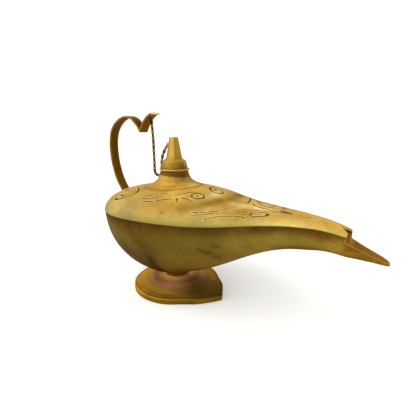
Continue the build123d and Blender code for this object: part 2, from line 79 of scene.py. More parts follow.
def make(name, verts_mm, faces, body, replaces=(), mat=None, attrs=None, merge=0.0, sharp=None):
    """A mesh piece from points in millimetres, with named numbers on its points."""
    me = bpy.data.meshes.new(name)
    me.from_pydata((np.asarray(verts_mm, float) * MM).tolist(), [], faces)
    for key, values in (attrs or {}).items():
        a = me.attributes.new(key, "FLOAT", "POINT")
        a.data.foreach_set("value", np.asarray(values, np.float32).ravel())
    if merge:
        bm = bmesh.new()
        bm.from_mesh(me)
        bmesh.ops.remove_doubles(bm, verts=bm.verts, dist=merge * MM)
        bmesh.ops.dissolve_degenerate(bm, dist=merge * MM * 0.5, edges=bm.edges)
        bmesh.ops.recalc_face_normals(bm, faces=bm.faces)
        bm.to_mesh(me)
        bm.free()
    me.shade_smooth()
    if sharp:
        me.set_sharp_from_angle(angle=math.radians(sharp))
    me.update()
    ob = bpy.data.objects.new(name, me)
    bpy.context.scene.collection.objects.link(ob)
    if mat:
        me.materials.append(mat)
    if body:
        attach(ob, body)
    if replaces:
        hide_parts(*replaces)
    return ob


def rounded(points, radii, steps=4, support=0.3):
    """A closed outline with its corners rounded, and a point just before and after each so that flats stay flat."""
    out = []
    n = len(points)
    for i, (p, r) in enumerate(zip(points, radii)):
        a, b, c = np.array(points[i - 1], float), np.array(p, float), np.array(points[(i + 1) % n], float)
        u, v = a - b, c - b
        lu, lv = np.hypot(*u), np.hypot(*v)
        u, v = u / lu, v / lv
        cosang = float(np.clip(u @ v, -1, 1))
        half = math.acos(cosang) / 2
        if r <= 0 or half > math.pi / 2 - 0.02:
            out.append(tuple(b))
            continue
        d = min(r / math.tan(half), 0.45 * lu, 0.45 * lv)
        r = d * math.tan(half)
        m = (u + v) / np.hypot(*(u + v))
        centre = b + m * (r / math.sin(half))
        s, e = b + u * d, b + v * d
        a0 = math.atan2(*(s - centre)[::-1])
        turn = (math.atan2(*(e - centre)[::-1]) - a0 + math.pi) % (2 * math.pi) - math.pi
        if support * r + d < 0.48 * lu:
            out.append(tuple(b + u * (d + support * r)))
        for k in range(steps + 1):
            q = a0 + turn * k / steps
            out.append((centre[0] + r * math.cos(q), centre[1] + r * math.sin(q)))
        if support * r + d < 0.48 * lv:
            out.append(tuple(b + v * (d + support * r)))
    return out


def spline(points, step):
    """A smooth line through points, sampled about every step."""
    p = np.asarray(points, float)
    p = np.vstack([2 * p[0] - p[1], p, 2 * p[-1] - p[-2]])
    out = []
    for i in range(1, len(p) - 2):
        a, b, c, d = p[i - 1], p[i], p[i + 1], p[i + 2]
        n = max(2, int(math.ceil(np.linalg.norm(c - b) / step)))
        ta = np.linalg.norm(b - a) ** 0.5
        tb = np.linalg.norm(c - b) ** 0.5
        tc = np.linalg.norm(d - c) ** 0.5
        m1 = (b - a) / ta - (c - a) / (ta + tb) + (c - b) / tb
        m2 = (c - b) / tb - (d - b) / (tb + tc) + (d - c) / tc
        m1, m2 = m1 * tb, m2 * tb
        for t in np.arange(n) / n:
            out.append((2 * t**3 - 3 * t**2 + 1) * b + (t**3 - 2 * t**2 + t) * m1 + (-2 * t**3 + 3 * t**2) * c + (t**3 - t**2) * m2)
    out.append(p[-2])
    return np.array(out)


def lathe(name, profile, body, replaces, mat, n=128, shape=None, attrs=None, sharp=40, merge=1e-4):
    """A closed outline (r, z) turned about the Z axis. shape(x, y, z, r, angle) may move the points."""
    pr = np.array(profile, float)
    ang = np.arange(n) * 2 * math.pi / n
    R, A = np.meshgrid(pr[:, 0], ang, indexing="ij")
    Z = np.repeat(pr[:, 1][:, None], n, 1)
    X, Y = R * np.cos(A), R * np.sin(A)
    if shape:
        X, Y, Z = shape(X, Y, Z, R, A)
    v = np.stack([X, Y, Z], -1).reshape(-1, 3)
    m = len(pr)
    faces = []
    for i in range(m):
        k = (i + 1) % m
        if pr[i, 0] < 1e-6 and pr[k, 0] < 1e-6:
            continue
        for j in range(n):
            l = (j + 1) % n
            if pr[i, 0] < 1e-6:
                faces.append((i * n, k * n + j, k * n + l))
            elif pr[k, 0] < 1e-6:
                faces.append((i * n + j, k * n, i * n + l))
            else:
                faces.append((i * n + j, k * n + j, k * n + l, i * n + l))
    values = {}
    for key, val in (attrs or {}).items():
        values[key] = val(R, A, np.repeat(pr[:, 1][:, None], n, 1)) if callable(val) else np.repeat(np.asarray(val, float)[:, None], n, 1)
    return make(name, v, faces, body, replaces, mat, values, merge=merge, sharp=sharp)


# ------------------------------------------------------------------ the body's shape, as in the CAD part
X_BACK, X_MOUTH, X_TIP, X_LIP_ROUND = -70.3, 143.7, 166.4, 158.0
WALL, LIP_OVERHANG, LIP_WALL = 1.5, 0.6, 1.2
SEAM_X = [-80, -60, -45, -30, -10, 10, 30, 50, 70, 85, 100, 115, 125, 135, 143.7]
SEAM_Z = [71.65, 71.68, 71.86, 72.26, 72.97, 73.6, 74.15, 75.05, 76.74, 78.44, 80.13, 81.1, 80.95, 79.86, 78.0]
W_MAX, X_W, N_W = 52.47, -5.2, 2.03
HALF_X = [-40.5, -5.2, 15, 30, 45, 60, 75, 90, 105, 120, 130, 137, 143.7, 151.7, 158]
HALF_W = [44.35, 52.47, 50.9, 48.1, 44.65, 39.9, 33.3, 26.3, 20.3, 15.2, 12.0, 9.9, 8.0, 5.95, 5.3]
H_MAX, X_H, N_H = 21.35, 0.4, 2.1
CROWN_X = [-24.3, 0.4, 15, 25, 35, 45, 55, 65, 78, 90, 102, 115, 130, 143.7]
CROWN_H = [20.2, 21.35, 20.95, 20.15, 18.7, 16.4, 13.8, 11.4, 9.15, 7.35, 5.75, 4.45, 3.65, 3.3]
D_MAX, X_D, N_D = 58.4, 0.6, 2.1
DEPTH_X = [-28.8, 0.6, 15, 30, 45, 60, 75, 90, 105, 120, 132, 143.7]
DEPTH_D = [52.7, 58.4, 55.7, 50.5, 44.5, 37.6, 30.5, 24.6, 20.45, 17.95, 15.6, 14.1]
LIP_EDGE_Z0, LIP_EDGE_Z1 = 74.3, 65.8
LIP_FLOOR_X, LIP_FLOOR_Z = [143.7, 151.7, 166.4], [63.9, 64.15, 64.1]
NOTCH_DEPTH, NOTCH_HALF = 6.0, 4.9
INSET = WALL + LIP_OVERHANG


def smooth(xs, ys, x):
    xs, ys = np.asarray(xs, float), np.asarray(ys, float)
    h = np.diff(xs)
    s = np.diff(ys) / h
    m = np.zeros(len(xs))
    m[0], m[-1] = s[0], s[-1]
    for i in range(1, len(xs) - 1):
        if s[i - 1] * s[i] > 0:
            a, b = 2 * h[i] + h[i - 1], h[i] + 2 * h[i - 1]
            m[i] = (a + b) / (a / s[i - 1] + b / s[i])
    x = np.clip(np.asarray(x, float), xs[0], xs[-1])
    i = np.clip(np.searchsorted(xs, x, side="left") - 1, 0, len(xs) - 2)
    t = (x - xs[i]) / h[i]
    return (
        (1 + 2 * t) * (1 - t) ** 2 * ys[i]
        + t * (1 - t) ** 2 * h[i] * m[i]
        + t * t * (3 - 2 * t) * ys[i + 1]
        + t * t * (t - 1) * h[i] * m[i + 1]
    )


def back(x, xc, xb, v, n):
    u = np.clip((xc - x) / (xc - xb), 0.0, 1.0)
    return v * (1 - u**n) ** (1 / n)


def seam_z(x):
    return smooth(SEAM_X, SEAM_Z, x)


def half_w(x, inset=0.0):
    x = np.asarray(x, float)
    u = np.clip((x - X_LIP_ROUND) / (X_TIP - X_LIP_ROUND), 0, 1)
    tip = HALF_W[-1] * (1 - u**2.3) ** (1 / 2.3) - inset
    return np.where(x < X_W, back(x, X_W, X_BACK + inset, W_MAX - inset, N_W), np.where(x > X_LIP_ROUND, tip, smooth(HALF_X, HALF_W, x) - inset))


def crown(x, inset=0.0):
    x = np.asarray(x, float)
    return np.where(x < X_H, back(x, X_H, X_BACK + inset, H_MAX - inset, N_H), smooth(CROWN_X, CROWN_H, x) - inset)


def depth(x, inset=0.0, end=0.0):
    x = np.asarray(x, float)
    return np.where(x < X_D, back(x, X_D, X_BACK + end, D_MAX - inset, N_D), smooth(DEPTH_X, DEPTH_D, x) - inset)


def mixed(x, a, b):
    return a + (b - a) * np.clip((np.asarray(x, float) - 20) / 70, 0, 1)


def lip_edge(x):
    return LIP_EDGE_Z0 + (LIP_EDGE_Z1 - LIP_EDGE_Z0) * (np.asarray(x, float) - X_MOUTH) / (X_TIP - X_MOUTH)


def bowl_top(x):
    x = np.asarray(x, float)
    return np.where(x <= X_MOUTH, seam_z(x), lip_edge(x) + (seam_z(X_MOUTH) - LIP_EDGE_Z0) * (X_TIP - x) / (X_TIP - X_MOUTH))


def bowl_floor(x, wall=0.0, end=0.0):
    x = np.asarray(x, float)
    return np.where(x <= X_MOUTH, seam_z(x) - depth(x, wall, end), smooth(LIP_FLOOR_X, LIP_FLOOR_Z, x) + wall)


TAU = np.linspace(0.0, 1.0, 161)


def section(w, z0, rise, k1, k2):
    """One half of the cross-section at x, from its edge to the middle: (half widths, heights)."""
    e = math.copysign(min(1.2, 0.3 * abs(rise)), rise) if abs(rise) > 1e-9 else 0.0
    if e:
        w = w / (1 - (e / (rise + e)) ** 2.1) ** (1 / 2.1)
    z0, rise = z0 - e, rise + e
    t = TAU
    y = (1 - t) ** 3 * w + 3 * (1 - t) ** 2 * t * w + 3 * (1 - t) * t * t * w * k2
    z = (1 - t) ** 3 * z0 + 3 * (1 - t) ** 2 * t * (z0 + k1 * rise) + (3 * (1 - t) * t * t + t**3) * (z0 + rise)
    return y, z


def cover_section(x, inset_w=0.0, inset_h=0.0):
    return section(float(half_w(x, inset_w)), float(seam_z(x)), float(crown(x, inset_h)), float(mixed(x, 0.47, 0.6)), float(mixed(x, 0.69, 0.57)))


def cut_line(y, z, z_cut, rising=True):
    """The part of a half section past the height z_cut, as (y, z, length along it)."""
    i = int(np.searchsorted(z if rising else -z, z_cut if rising else -z_cut))
    i = min(max(i, 1), len(z) - 2)
    f = (z_cut - z[i - 1]) / (z[i] - z[i - 1] + 1e-12)
    y = np.r_[y[i - 1] + f * (y[i] - y[i - 1]), y[i:]]
    z = np.r_[z_cut, z[i:]]
    s = np.r_[0.0, np.cumsum(np.hypot(np.diff(y), np.diff(z)))]
    return y, z, s


# heights of the cover's top over the plan, for everything that lies on it
GX = np.linspace(-70.0, 143.7, 860)
GY = np.linspace(0.0, 53.0, 266)
TOP = np.full((len(GX), len(GY)), 60.0)
for gi, gx in enumerate(GX):
    sy, sz = cover_section(gx)
    TOP[gi] = np.interp(GY, sy[::-1], sz[::-1], right=60.0)


def top_z(x, y):
    x, y = np.asarray(x, float), np.abs(np.asarray(y, float))
    fi = np.clip((x - GX[0]) / (GX[1] - GX[0]), 0, len(GX) - 1.001)
    fj = np.clip((y - GY[0]) / (GY[1] - GY[0]), 0, len(GY) - 1.001)
    i, j = fi.astype(int), fj.astype(int)
    a, b = fi - i, fj - j
    return (TOP[i, j] * (1 - a) + TOP[i + 1, j] * a) * (1 - b) + (TOP[i, j + 1] * (1 - a) + TOP[i + 1, j + 1] * a) * b


# ------------------------------------------------------------------ ornament on the cover
# Each stroke: points (x, y) on the plan in millimetres, width at its middle, and whether it is repeated on the other side.
def ring(cx, cy, rx, ry, turn=0.0, start=0.0, sweep=360.0, n=22):
    out = []
    for k in range(n + 1):
        q = math.radians(start + sweep * k / n)
        x, y = rx * math.cos(q), ry * math.sin(q)
        c, s = math.cos(math.radians(turn)), math.sin(math.radians(turn))
        out.append((cx + x * c - y * s, cy + x * s + y * c))
    return out


STROKES = [
    # near scroll: one line that comes in from the left and winds round, with its dot
    ([(25.2, -26.6), (26.8, -24.9), (27.8, -22.6), (29.2, -19.8), (30.8, -16.5), (33.5, -14.1), (36.4, -12.4), (40.2, -11.9), (43.6, -13.4), (45.2, -16.6),
      (43.6, -19.8), (40.4, -21.0), (37.4, -20.4), (35.4, -18.2), (35.4, -15.6), (36.8, -13.4), (39.6, -12.6)], 1.0, True),
    ([(44.0, -14.4), (44.9, -16.8), (43.2, -19.4), (40.6, -20.6)], 1.6, True),
    ([(36.2, -19.2), (35.3, -17.0), (36.2, -14.6)], 1.4, True),
    ([(39.4, -16.3), (40.2, -17.1)], 1.5, True),
    ([(24.4, -27.5), (22.9, -29.2)], 0.6, True),
    # leaves round it
    ([(32.1, -26.7), (34.8, -25.9), (37.5, -25.6), (40.8, -25.9), (44.0, -26.2)], 1.0, True),
    ([(29.7, -29.0), (32.0, -30.4), (33.2, -31.9), (33.0, -33.2)], 1.1, True),
    ([(32.1, -34.4), (31.1, -35.4)], 0.75, True),
    # feathers
    ([(5.6, -33.0), (7.2, -31.6), (9.0, -30.1), (10.9, -28.8)], 0.62, True),
    ([(10.7, -32.7), (13.6, -30.9), (15.4, -28.6), (18.1, -26.0)], 0.62, True),
    ([(-1.6, -36.9), (1.1, -36.0), (4.0, -34.4), (7.0, -33.3)], 0.62, True),
    ([(11.2, -35.6), (14.1, -34.5), (16.8, -33.6)], 0.66, True),
    ([(-1.6, -39.2), (2.3, -38.7), (7.6, -37.6), (11.6, -36.0)], 0.74, True),
    ([(15.7, -37.3), (18.9, -36.3), (21.9, -34.5), (24.8, -32.7), (26.8, -30.3)], 0.74, True),
    ([(4.1, -41.3), (8.2, -40.7), (12.7, -39.6), (16.1, -38.5)], 0.7, True),
    # scroll behind the neck
    ([(-25.4, -20.9), (-22.2, -21.9), (-18.0, -24.6), (-14.2, -28.2), (-12.4, -31.2), (-12.1, -33.4), (-13.0, -35.3), (-14.8, -37.4), (-17.4, -38.9), (-20.4, -40.0),
      (-23.3, -40.5), (-25.9, -40.8), (-28.3, -40.7), (-30.4, -39.8), (-31.6, -38.4), (-31.5, -37.2), (-30.2, -36.4)], 1.7, True),
    ([(-14.6, -28.0), (-12.5, -31.2), (-12.3, -33.6)], 2.0, True),
    ([(-28.0, -40.8), (-30.4, -39.8), (-31.7, -38.2)], 1.9, True),
    ([(-22.4, -35.1), (-23.5, -36.1)], 2.7, True),
    ([(-23.2, -36.2), (-25.2, -36.4), (-27.6, -35.9), (-30.0, -35.1)], 1.2, True),
    ([(-24.8, -36.6), (-23.1, -38.0), (-21.7, -39.3)], 1.3, True),
    ([(-44.3, -34.3), (-45.3, -32.3), (-44.1, -30.4), (-42.0, -29.2), (-39.2, -28.7), (-36.8, -28.5)], 1.4, True),
    ([(-44.3, -34.3), (-45.0, -33.0)], 2.2, True),
    ([(-41.8, -32.7), (-39.8, -32.6), (-37.6, -32.2)], 0.9, True),
    ([(-31.4, -30.0), (-31.3, -28.6), (-32.2, -26.6), (-33.3, -24.6)], 1.3, True),
    ([(-32.4, -26.4), (-33.4, -24.4)], 2.1, True),
    # fine lines that run out along the spout
    ([(72.5, -16.5), (75.7, -14.0), (79.6, -11.9), (83.7, -10.7), (87.7, -9.5), (92.6, -7.9), (95.6, -7.3), (99.9, -6.4), (104.5, -5.0), (108.0, -3.9)], 0.72, True),
    ([(74.1, -18.8), (78.2, -16.8), (82.8, -14.2), (85.6, -11.5)], 0.5, True),
    ([(65.9, -22.4), (66.5, -20.6), (67.6, -19.1), (69.2, -17.2)], 0.6, True),
    ([(50.6, -34.7), (55.2, -32.0), (59.2, -29.4)], 0.72, True),
    ([(59.9, -28.8), (61.6, -27.2), (63.9, -25.2), (65.1, -23.1)], 0.6, True),
    ([(49.4, -38.4), (51.4, -37.2), (54.3, -35.1), (57.9, -32.8), (60.7, -30.4), (63.4, -28.5), (66.1, -26.4), (68.9, -24.0), (73.2, -21.2)], 0.48, True),
    ([(60.6, -36.1), (63.4, -33.9), (66.0, -31.3), (70.1, -28.3), (74.1, -26.0), (78.2, -24.0), (81.4, -22.9)], 0.5, True),
    ([(78.8, -23.8), (81.4, -22.7), (83.3, -22.5), (85.2, -23.2)], 0.8, True),
    ([(86.2, -18.2), (85.8, -16.4), (87.4, -14.3), (89.7, -12.3), (92.3, -11.2), (94.9, -11.3), (96.2, -12.6), (96.0, -14.5), (93.9, -16.6), (91.2, -18.2), (88.5, -19.2), (86.4, -18.6)], 0.8, True),
    ([(86.6, -18.9), (85.7, -17.4), (86.2, -15.8)], 1.8, True),
    ([(95.4, -11.4), (96.4, -13.0), (95.6, -15.2)], 1.8, True),
    ([(90.4, -15.2), (91.2, -14.8)], 1.0, True),
    # lines on the crest that meet in a point
    ([(75.5, 2.8), (79.3, -0.8), (83.3, -2.4), (87.1, -3.4), (90.5, -4.0), (93.8, -4.2), (97.3, -4.3), (101.5, -3.9), (105.5, -3.2), (109.9, -2.9)], 1.05, False),
    ([(70.5, 17.9), (76.0, 10.6), (81.6, 4.9), (85.3, 2.7), (88.4, 2.0), (93.2, 1.6), (98.6, 0.4), (104.0, -1.6), (109.9, -2.9)], 0.95, False),
    ([(59.5, 25.9), (66.3, 16.2), (70.3, 7.7), (72.3, 1.6), (72.0, -1.4)], 1.2, False),
    ([(99.6, -3.4), (103.8, -3.0), (108.4, -2.9)], 2.4, False),
    ([(89.4, 7.4), (91.0, 7.0)], 1.8, False),
    ([(97.0, 8.4), (98.8, 8.0)], 2.0, False),
    ([(87.6, 4.4), (90.2, 3.6), (93.0, 4.6)], 0.5, False),
    ([(117.6, -5.9), (119.4, -2.8), (120.2, 0.4)], 0.5, False),
    ([(120.0, 7.2), (121.4, 8.2)], 0.5, False),
    ([(125.8, -2.6), (127.8, -1.4)], 0.45, False),
    # scroll on the crest, and its partner's line towards the back
    ([(30.2, 17.6), (32.2, 11.0), (33.8, 6.5), (35.6, 3.6), (38.0, 1.7), (40.3, 0.6), (42.8, 0.2), (45.3, 0.9), (46.9, 2.0), (47.4, 3.8), (46.8, 6.0), (45.4, 8.0), (43.4, 9.0)], 1.35, False),
    ([(32.4, 9.6), (34.0, 6.0), (36.0, 3.2), (38.6, 1.4)], 1.9, False),
    ([(45.8, 1.2), (47.4, 3.4), (46.6, 6.2)], 1.7, False),
    ([(38.0, 6.2), (39.6, 5.5), (41.0, 4.9)], 1.7, False),
    ([(39.6, 14.0), (41.8, 13.2)], 0.8, False),
]
SKIP_MIRROR = {0, 1, 2, 3, 4}   # the scroll on the crest stands for these on the far side


def stroke_lines():
    lines = []
    for k, (pts, width, both) in enumerate(STROKES):
        p = spline(pts, 0.7) if len(pts) > 2 else np.array(pts, float)
        lines.append((p, width))
        if both and k not in SKIP_MIRROR:
            lines.append((p * np.array([1.0, -1.0]), width))
    out = []
    for p, width in lines:
        q = np.c_[p, top_z(p[:, 0], p[:, 1])]
        s = np.r_[0.0, np.cumsum(np.linalg.norm(np.diff(q, axis=0), axis=1))]
        f = s / max(s[-1], 1e-6)
        taper = np.clip(np.minimum(f, 1 - f) * 5.0, 0.0, 1.0) ** 0.6 if s[-1] > 2.5 and np.linalg.norm(q[0] - q[-1]) > 1.2 else np.ones(len(q))
        out.append((q, width / 2 * (0.35 + 0.65 * taper)))
    return out


def distance_to_lines(P, lines, far=4.0):
    """How far each point is from the nearest line's edge, in millimetres, negative inside the line."""
    best = np.full(len(P), far)
    for q, hw in lines:
        lo, hi = q.min(0) - far, q.max(0) + far
        near = np.flatnonzero(((P > lo) & (P < hi)).all(1))
        if not len(near):
            continue
        X = P[near]
        d = np.full(len(near), far)
        for a, b, ha, hb in zip(q, q[1:], hw, hw[1:]):
            ab = b - a
            t = np.clip(((X - a) @ ab) / (ab @ ab + 1e-12), 0, 1)
            d = np.minimum(d, np.linalg.norm(X - a - t[:, None] * ab, axis=1) - (ha + (hb - ha) * t))
        best[near] = np.minimum(best[near], d)
    return best


def soft_marks(P, marks):
    """Soft light and dark areas: each mark is (points, half width, strength, both sides)."""
    out = np.zeros(len(P))
    for pts, width, strength, both in marks:
        for sign in (1, -1) if both else (1,):
            q = np.array(pts, float) * np.array([1.0, sign, 1.0] if len(pts[0]) == 3 else [1.0, sign])
            k = q.shape[1]
            d = np.full(len(P), 1e3)
            if len(q) == 1:
                d = np.linalg.norm(P[:, :k] - q[0], axis=1)
            for a, b in zip(q, q[1:]):
                ab = b - a
                t = np.clip(((P[:, :k] - a) @ ab) / (ab @ ab + 1e-12), 0, 1)
                d = np.minimum(d, np.linalg.norm(P[:, :k] - a - t[:, None] * ab, axis=1))
            out += strength * np.exp(-0.5 * (d / width) ** 2)
    return out


def light_and_shade_field(P, marks, width, rest=0.03):
    """How much lighter or darker a piece is painted, as painted light and shade: a smooth field through a few given
    values, the same on both sides.
    """
    num, den = np.full(len(P), rest), np.full(len(P), rest)
    for (x, y, z), value in marks:
        w = np.exp(-0.5 * ((P[:, 0] - x) ** 2 + (np.abs(P[:, 1]) - abs(y)) ** 2 + (P[:, 2] - z) ** 2) / width**2)
        num += w * value
        den += w
    return num / den


# ------------------------------------------------------------------ shells
def shell_mesh(outer, inner, k, keep, skip_walls=()):
    """A closed shell. outer is a fine grid of points, inner a grid k times coarser, and keep says which coarse cells exist."""
    ni, nj = outer.shape[0] - 1, outer.shape[1] - 1
    ci, cj = keep.shape
    fine = np.repeat(np.repeat(keep, k, 0), k, 1)
    idx = np.arange((ni + 1) * (nj + 1)).reshape(ni + 1, nj + 1)
    base = idx.size
    jdx = base + np.arange((ci + 1) * (cj + 1)).reshape(ci + 1, cj + 1)
    faces = []
    ii, jj = np.nonzero(fine)
    a = np.stack([idx[ii, jj], idx[ii + 1, jj], idx[ii + 1, jj + 1], idx[ii, jj + 1]], 1)
    faces += a.tolist()
    ii, jj = np.nonzero(keep)
    a = np.stack([jdx[ii, jj], jdx[ii, jj + 1], jdx[ii + 1, jj + 1], jdx[ii + 1, jj]], 1)
    faces += a.tolist()
    pad = np.zeros((ci + 2, cj + 2), bool)
    pad[1:-1, 1:-1] = keep
    for i, j in zip(*np.nonzero(keep)):
        for side, (di, dj) in {"low_i": (-1, 0), "high_i": (1, 0), "low_j": (0, -1), "high_j": (0, 1)}.items():
            if pad[i + 1 + di, j + 1 + dj]:
                continue
            if (side == "low_i" and i == 0 and "low_i" in skip_walls) or (side == "high_i" and i == ci - 1 and "high_i" in skip_walls):
                continue
            if side == "low_i":
                line, ends = idx[i * k, j * k : (j + 1) * k + 1], (jdx[i, j + 1], jdx[i, j])
            elif side == "high_i":
                line, ends = idx[(i + 1) * k, j * k : (j + 1) * k + 1][::-1], (jdx[i + 1, j], jdx[i + 1, j + 1])
            elif side == "low_j":
                line, ends = idx[i * k : (i + 1) * k + 1, j * k][::-1], (jdx[i, j], jdx[i + 1, j])
            else:
                line, ends = idx[i * k : (i + 1) * k + 1, (j + 1) * k], (jdx[i + 1, j + 1], jdx[i, j + 1])
            faces.append([int(v) for v in line] + [int(v) for v in ends])
    return np.vstack([outer.reshape(-1, 3), inner.reshape(-1, 3)]), faces


def drop_loose(verts, faces, attrs):
    used = np.zeros(len(verts), bool)
    for f in faces:
        used[list(f)] = True
    new = np.cumsum(used) - 1
    return verts[used], [[int(new[v]) for v in f] for f in faces], {k: v[used] for k, v in attrs.items()}


# ------------------------------------------------------------------ materials
class Mat:
    def __init__(self, name):
        self.m = bpy.data.materials.new(name)
        self.m.use_nodes = True
        self.t = self.m.node_tree
        self.t.nodes.clear()
        out = self.t.nodes.new("ShaderNodeOutputMaterial")
        self.b = self.t.nodes.new("ShaderNodeBsdfPrincipled")
        self.t.links.new(self.b.outputs[0], out.inputs[0])
        self.co = self.t.nodes.new("ShaderNodeTexCoord").outputs["Object"]

    def put(self, value, socket):
        if isinstance(value, bpy.types.NodeSocket):
            self.t.links.new(value, socket)
        else:
            socket.default_value = value

    def noise(self, scale, detail=3.0, rough=0.5, distort=0.0, stretch=None, seed=0.0):
        n = self.t.nodes.new("ShaderNodeTexNoise")
        mp = self.t.nodes.new("ShaderNodeMapping")
        self.t.links.new(self.co, mp.inputs["Vector"])
        mp.inputs["Location"].default_value = (seed * 0.37, seed * 0.19, seed * 0.71)
        mp.inputs["Scale"].default_value = stretch or (1, 1, 1)
        self.t.links.new(mp.outputs[0], n.inputs["Vector"])
        n.inputs["Scale"].default_value = scale
        n.inputs["Detail"].default_value = detail
        n.inputs["Roughness"].default_value = rough
        n.inputs["Distortion"].default_value = distort
        return n.outputs[0]

    def attr(self, name):
        n = self.t.nodes.new("ShaderNodeAttribute")
        n.attribute_name = name
        return n.outputs["Fac"]

    def fit(self, v, a, b, c=0.0, d=1.0, kind="LINEAR"):
        n = self.t.nodes.new("ShaderNodeMapRange")
        n.interpolation_type = kind
        self.put(v, n.inputs["Value"])
        for key, val in zip(("From Min", "From Max", "To Min", "To Max"), (a, b, c, d)):
            n.inputs[key].default_value = val
        return n.outputs[0]

    def math(self, op, a, b=0.0):
        n = self.t.nodes.new("ShaderNodeMath")
        n.operation = op
        self.put(a, n.inputs[0])
        self.put(b, n.inputs[1])
        return n.outputs[0]

    def mix(self, f, a, b, kind="MIX"):
        n = self.t.nodes.new("ShaderNodeMix")
        n.data_type = "RGBA"
        n.blend_type = kind
        n.clamp_factor = True
        self.put(f, n.inputs[0])
        self.put(a, n.inputs[6])
        self.put(b, n.inputs[7])
        return n.outputs[2]

    def ramp(self, f, stops):
        n = self.t.nodes.new("ShaderNodeValToRGB")
        e = n.color_ramp.elements
        while len(e) > 1:
            e.remove(e[-1])
        e[0].position, e[0].color = stops[0]
        for pos, col in stops[1:]:
            x = e.new(pos)
            x.color = col
        self.put(f, n.inputs[0])
        return n.outputs[0]

    def xyz(self):
        n = self.t.nodes.new("ShaderNodeSeparateXYZ")
        self.t.links.new(self.co, n.inputs[0])
        return n.outputs

    def bump(self, height, distance, strength=1.0, normal=None):
        n = self.t.nodes.new("ShaderNodeBump")
        n.inputs["Strength"].default_value = strength
        n.inputs["Distance"].default_value = distance
        self.t.links.new(height, n.inputs["Height"])
        if normal is not None:
            self.t.links.new(normal, n.inputs["Normal"])
        return n.outputs[0]

    def finish(self, colour, rough, metallic, normal=None, **sockets):
        self.put(colour, self.b.inputs["Base Color"])
        self.put(rough, self.b.inputs["Roughness"])
        self.b.inputs["Metallic"].default_value = metallic
        if normal is not None:
            self.t.links.new(normal, self.b.inputs["Normal"])
        for key, v in sockets.items():
            self.b.inputs[key].default_value = v
        return self.m


K = 0.74   # how much darker than its look in the photograph a surface is painted, for the light it gets


def brass(name, dark, mid, light, rough=(0.40, 0.62), metallic=0.7, grain=1.0, seed=0.0, spots=0.35, rust=0.28, wash=(1.0, 1.0, 1.0), spec=0.2, extra=None):
    """Tarnished brass: broad and small changes of tone, specks of patina, fine scratches and small dents."""
    m = Mat(name)
    broad = m.noise(26, 2.0, 0.5, 0.6, seed=seed)
    patch = m.noise(95, 5.0, 0.62, 0.9, seed=seed + 2)
    fine = m.noise(620, 4.0, 0.6, 0.2, seed=seed + 3)
    tone = m.math("ADD", m.math("MULTIPLY", broad, 0.5), m.math("MULTIPLY", patch, 0.5))
    tone = m.fit(tone, 0.33, 0.67)
    colour = m.ramp(tone, [(0.0, lin(*dark, K)), (0.5, lin(*mid, K)), (1.0, lin(*light, K))])
    orange = m.fit(m.noise(58, 4.0, 0.6, 1.2, seed=seed + 5), 0.55, 0.75)
    colour = m.mix(m.math("MULTIPLY", orange, rust), colour, lin(184, 108, 34, K))
    speck = m.fit(m.noise(210, 6.0, 0.7, 0.4, seed=seed + 7), 0.60, 0.72)
    colour = m.mix(m.math("MULTIPLY", speck, spots), colour, lin(*[v * 0.42 for v in dark], K))
    roughness = m.fit(m.math("ADD", m.math("MULTIPLY", patch, 0.7), m.math("MULTIPLY", fine, 0.3)), 0.35, 0.68, rough[0], rough[1])
    roughness = m.math("ADD", roughness, m.math("MULTIPLY", speck, 0.15))
    dents = m.noise(150, 2.0, 0.5, 0.3, seed=seed + 11)
    normal = m.bump(dents, 0.00045 * grain, 0.35)
    scratch = m.noise(900, 3.0, 0.6, 0.0, stretch=(0.25, 1.0, 0.6), seed=seed + 13)
    normal = m.bump(m.math("ADD", m.math("MULTIPLY", fine, 0.7), m.math("MULTIPLY", scratch, 0.3)), 0.00009 * grain, 0.5, normal)
    if extra:
        colour, roughness, normal = extra(m, colour, roughness, normal, dict(broad=broad, patch=patch, fine=fine, speck=speck))
    grainy = m.fit(m.noise(330, 3.0, 0.6, 0.5, seed=seed + 17), 0.32, 0.68, 0.90, 1.08)
    colour = m.mix(1.0, colour, grainy, "MULTIPLY")
    colour = m.mix(1.0, colour, (*wash, 1.0), "MULTIPLY")
    m.b.inputs["Specular IOR Level"].default_value = spec
    m.b.inputs["Specular Tint"].default_value = (0.80, 0.62, 0.34, 1.0)
    return m.finish(colour, roughness, metallic, normal)


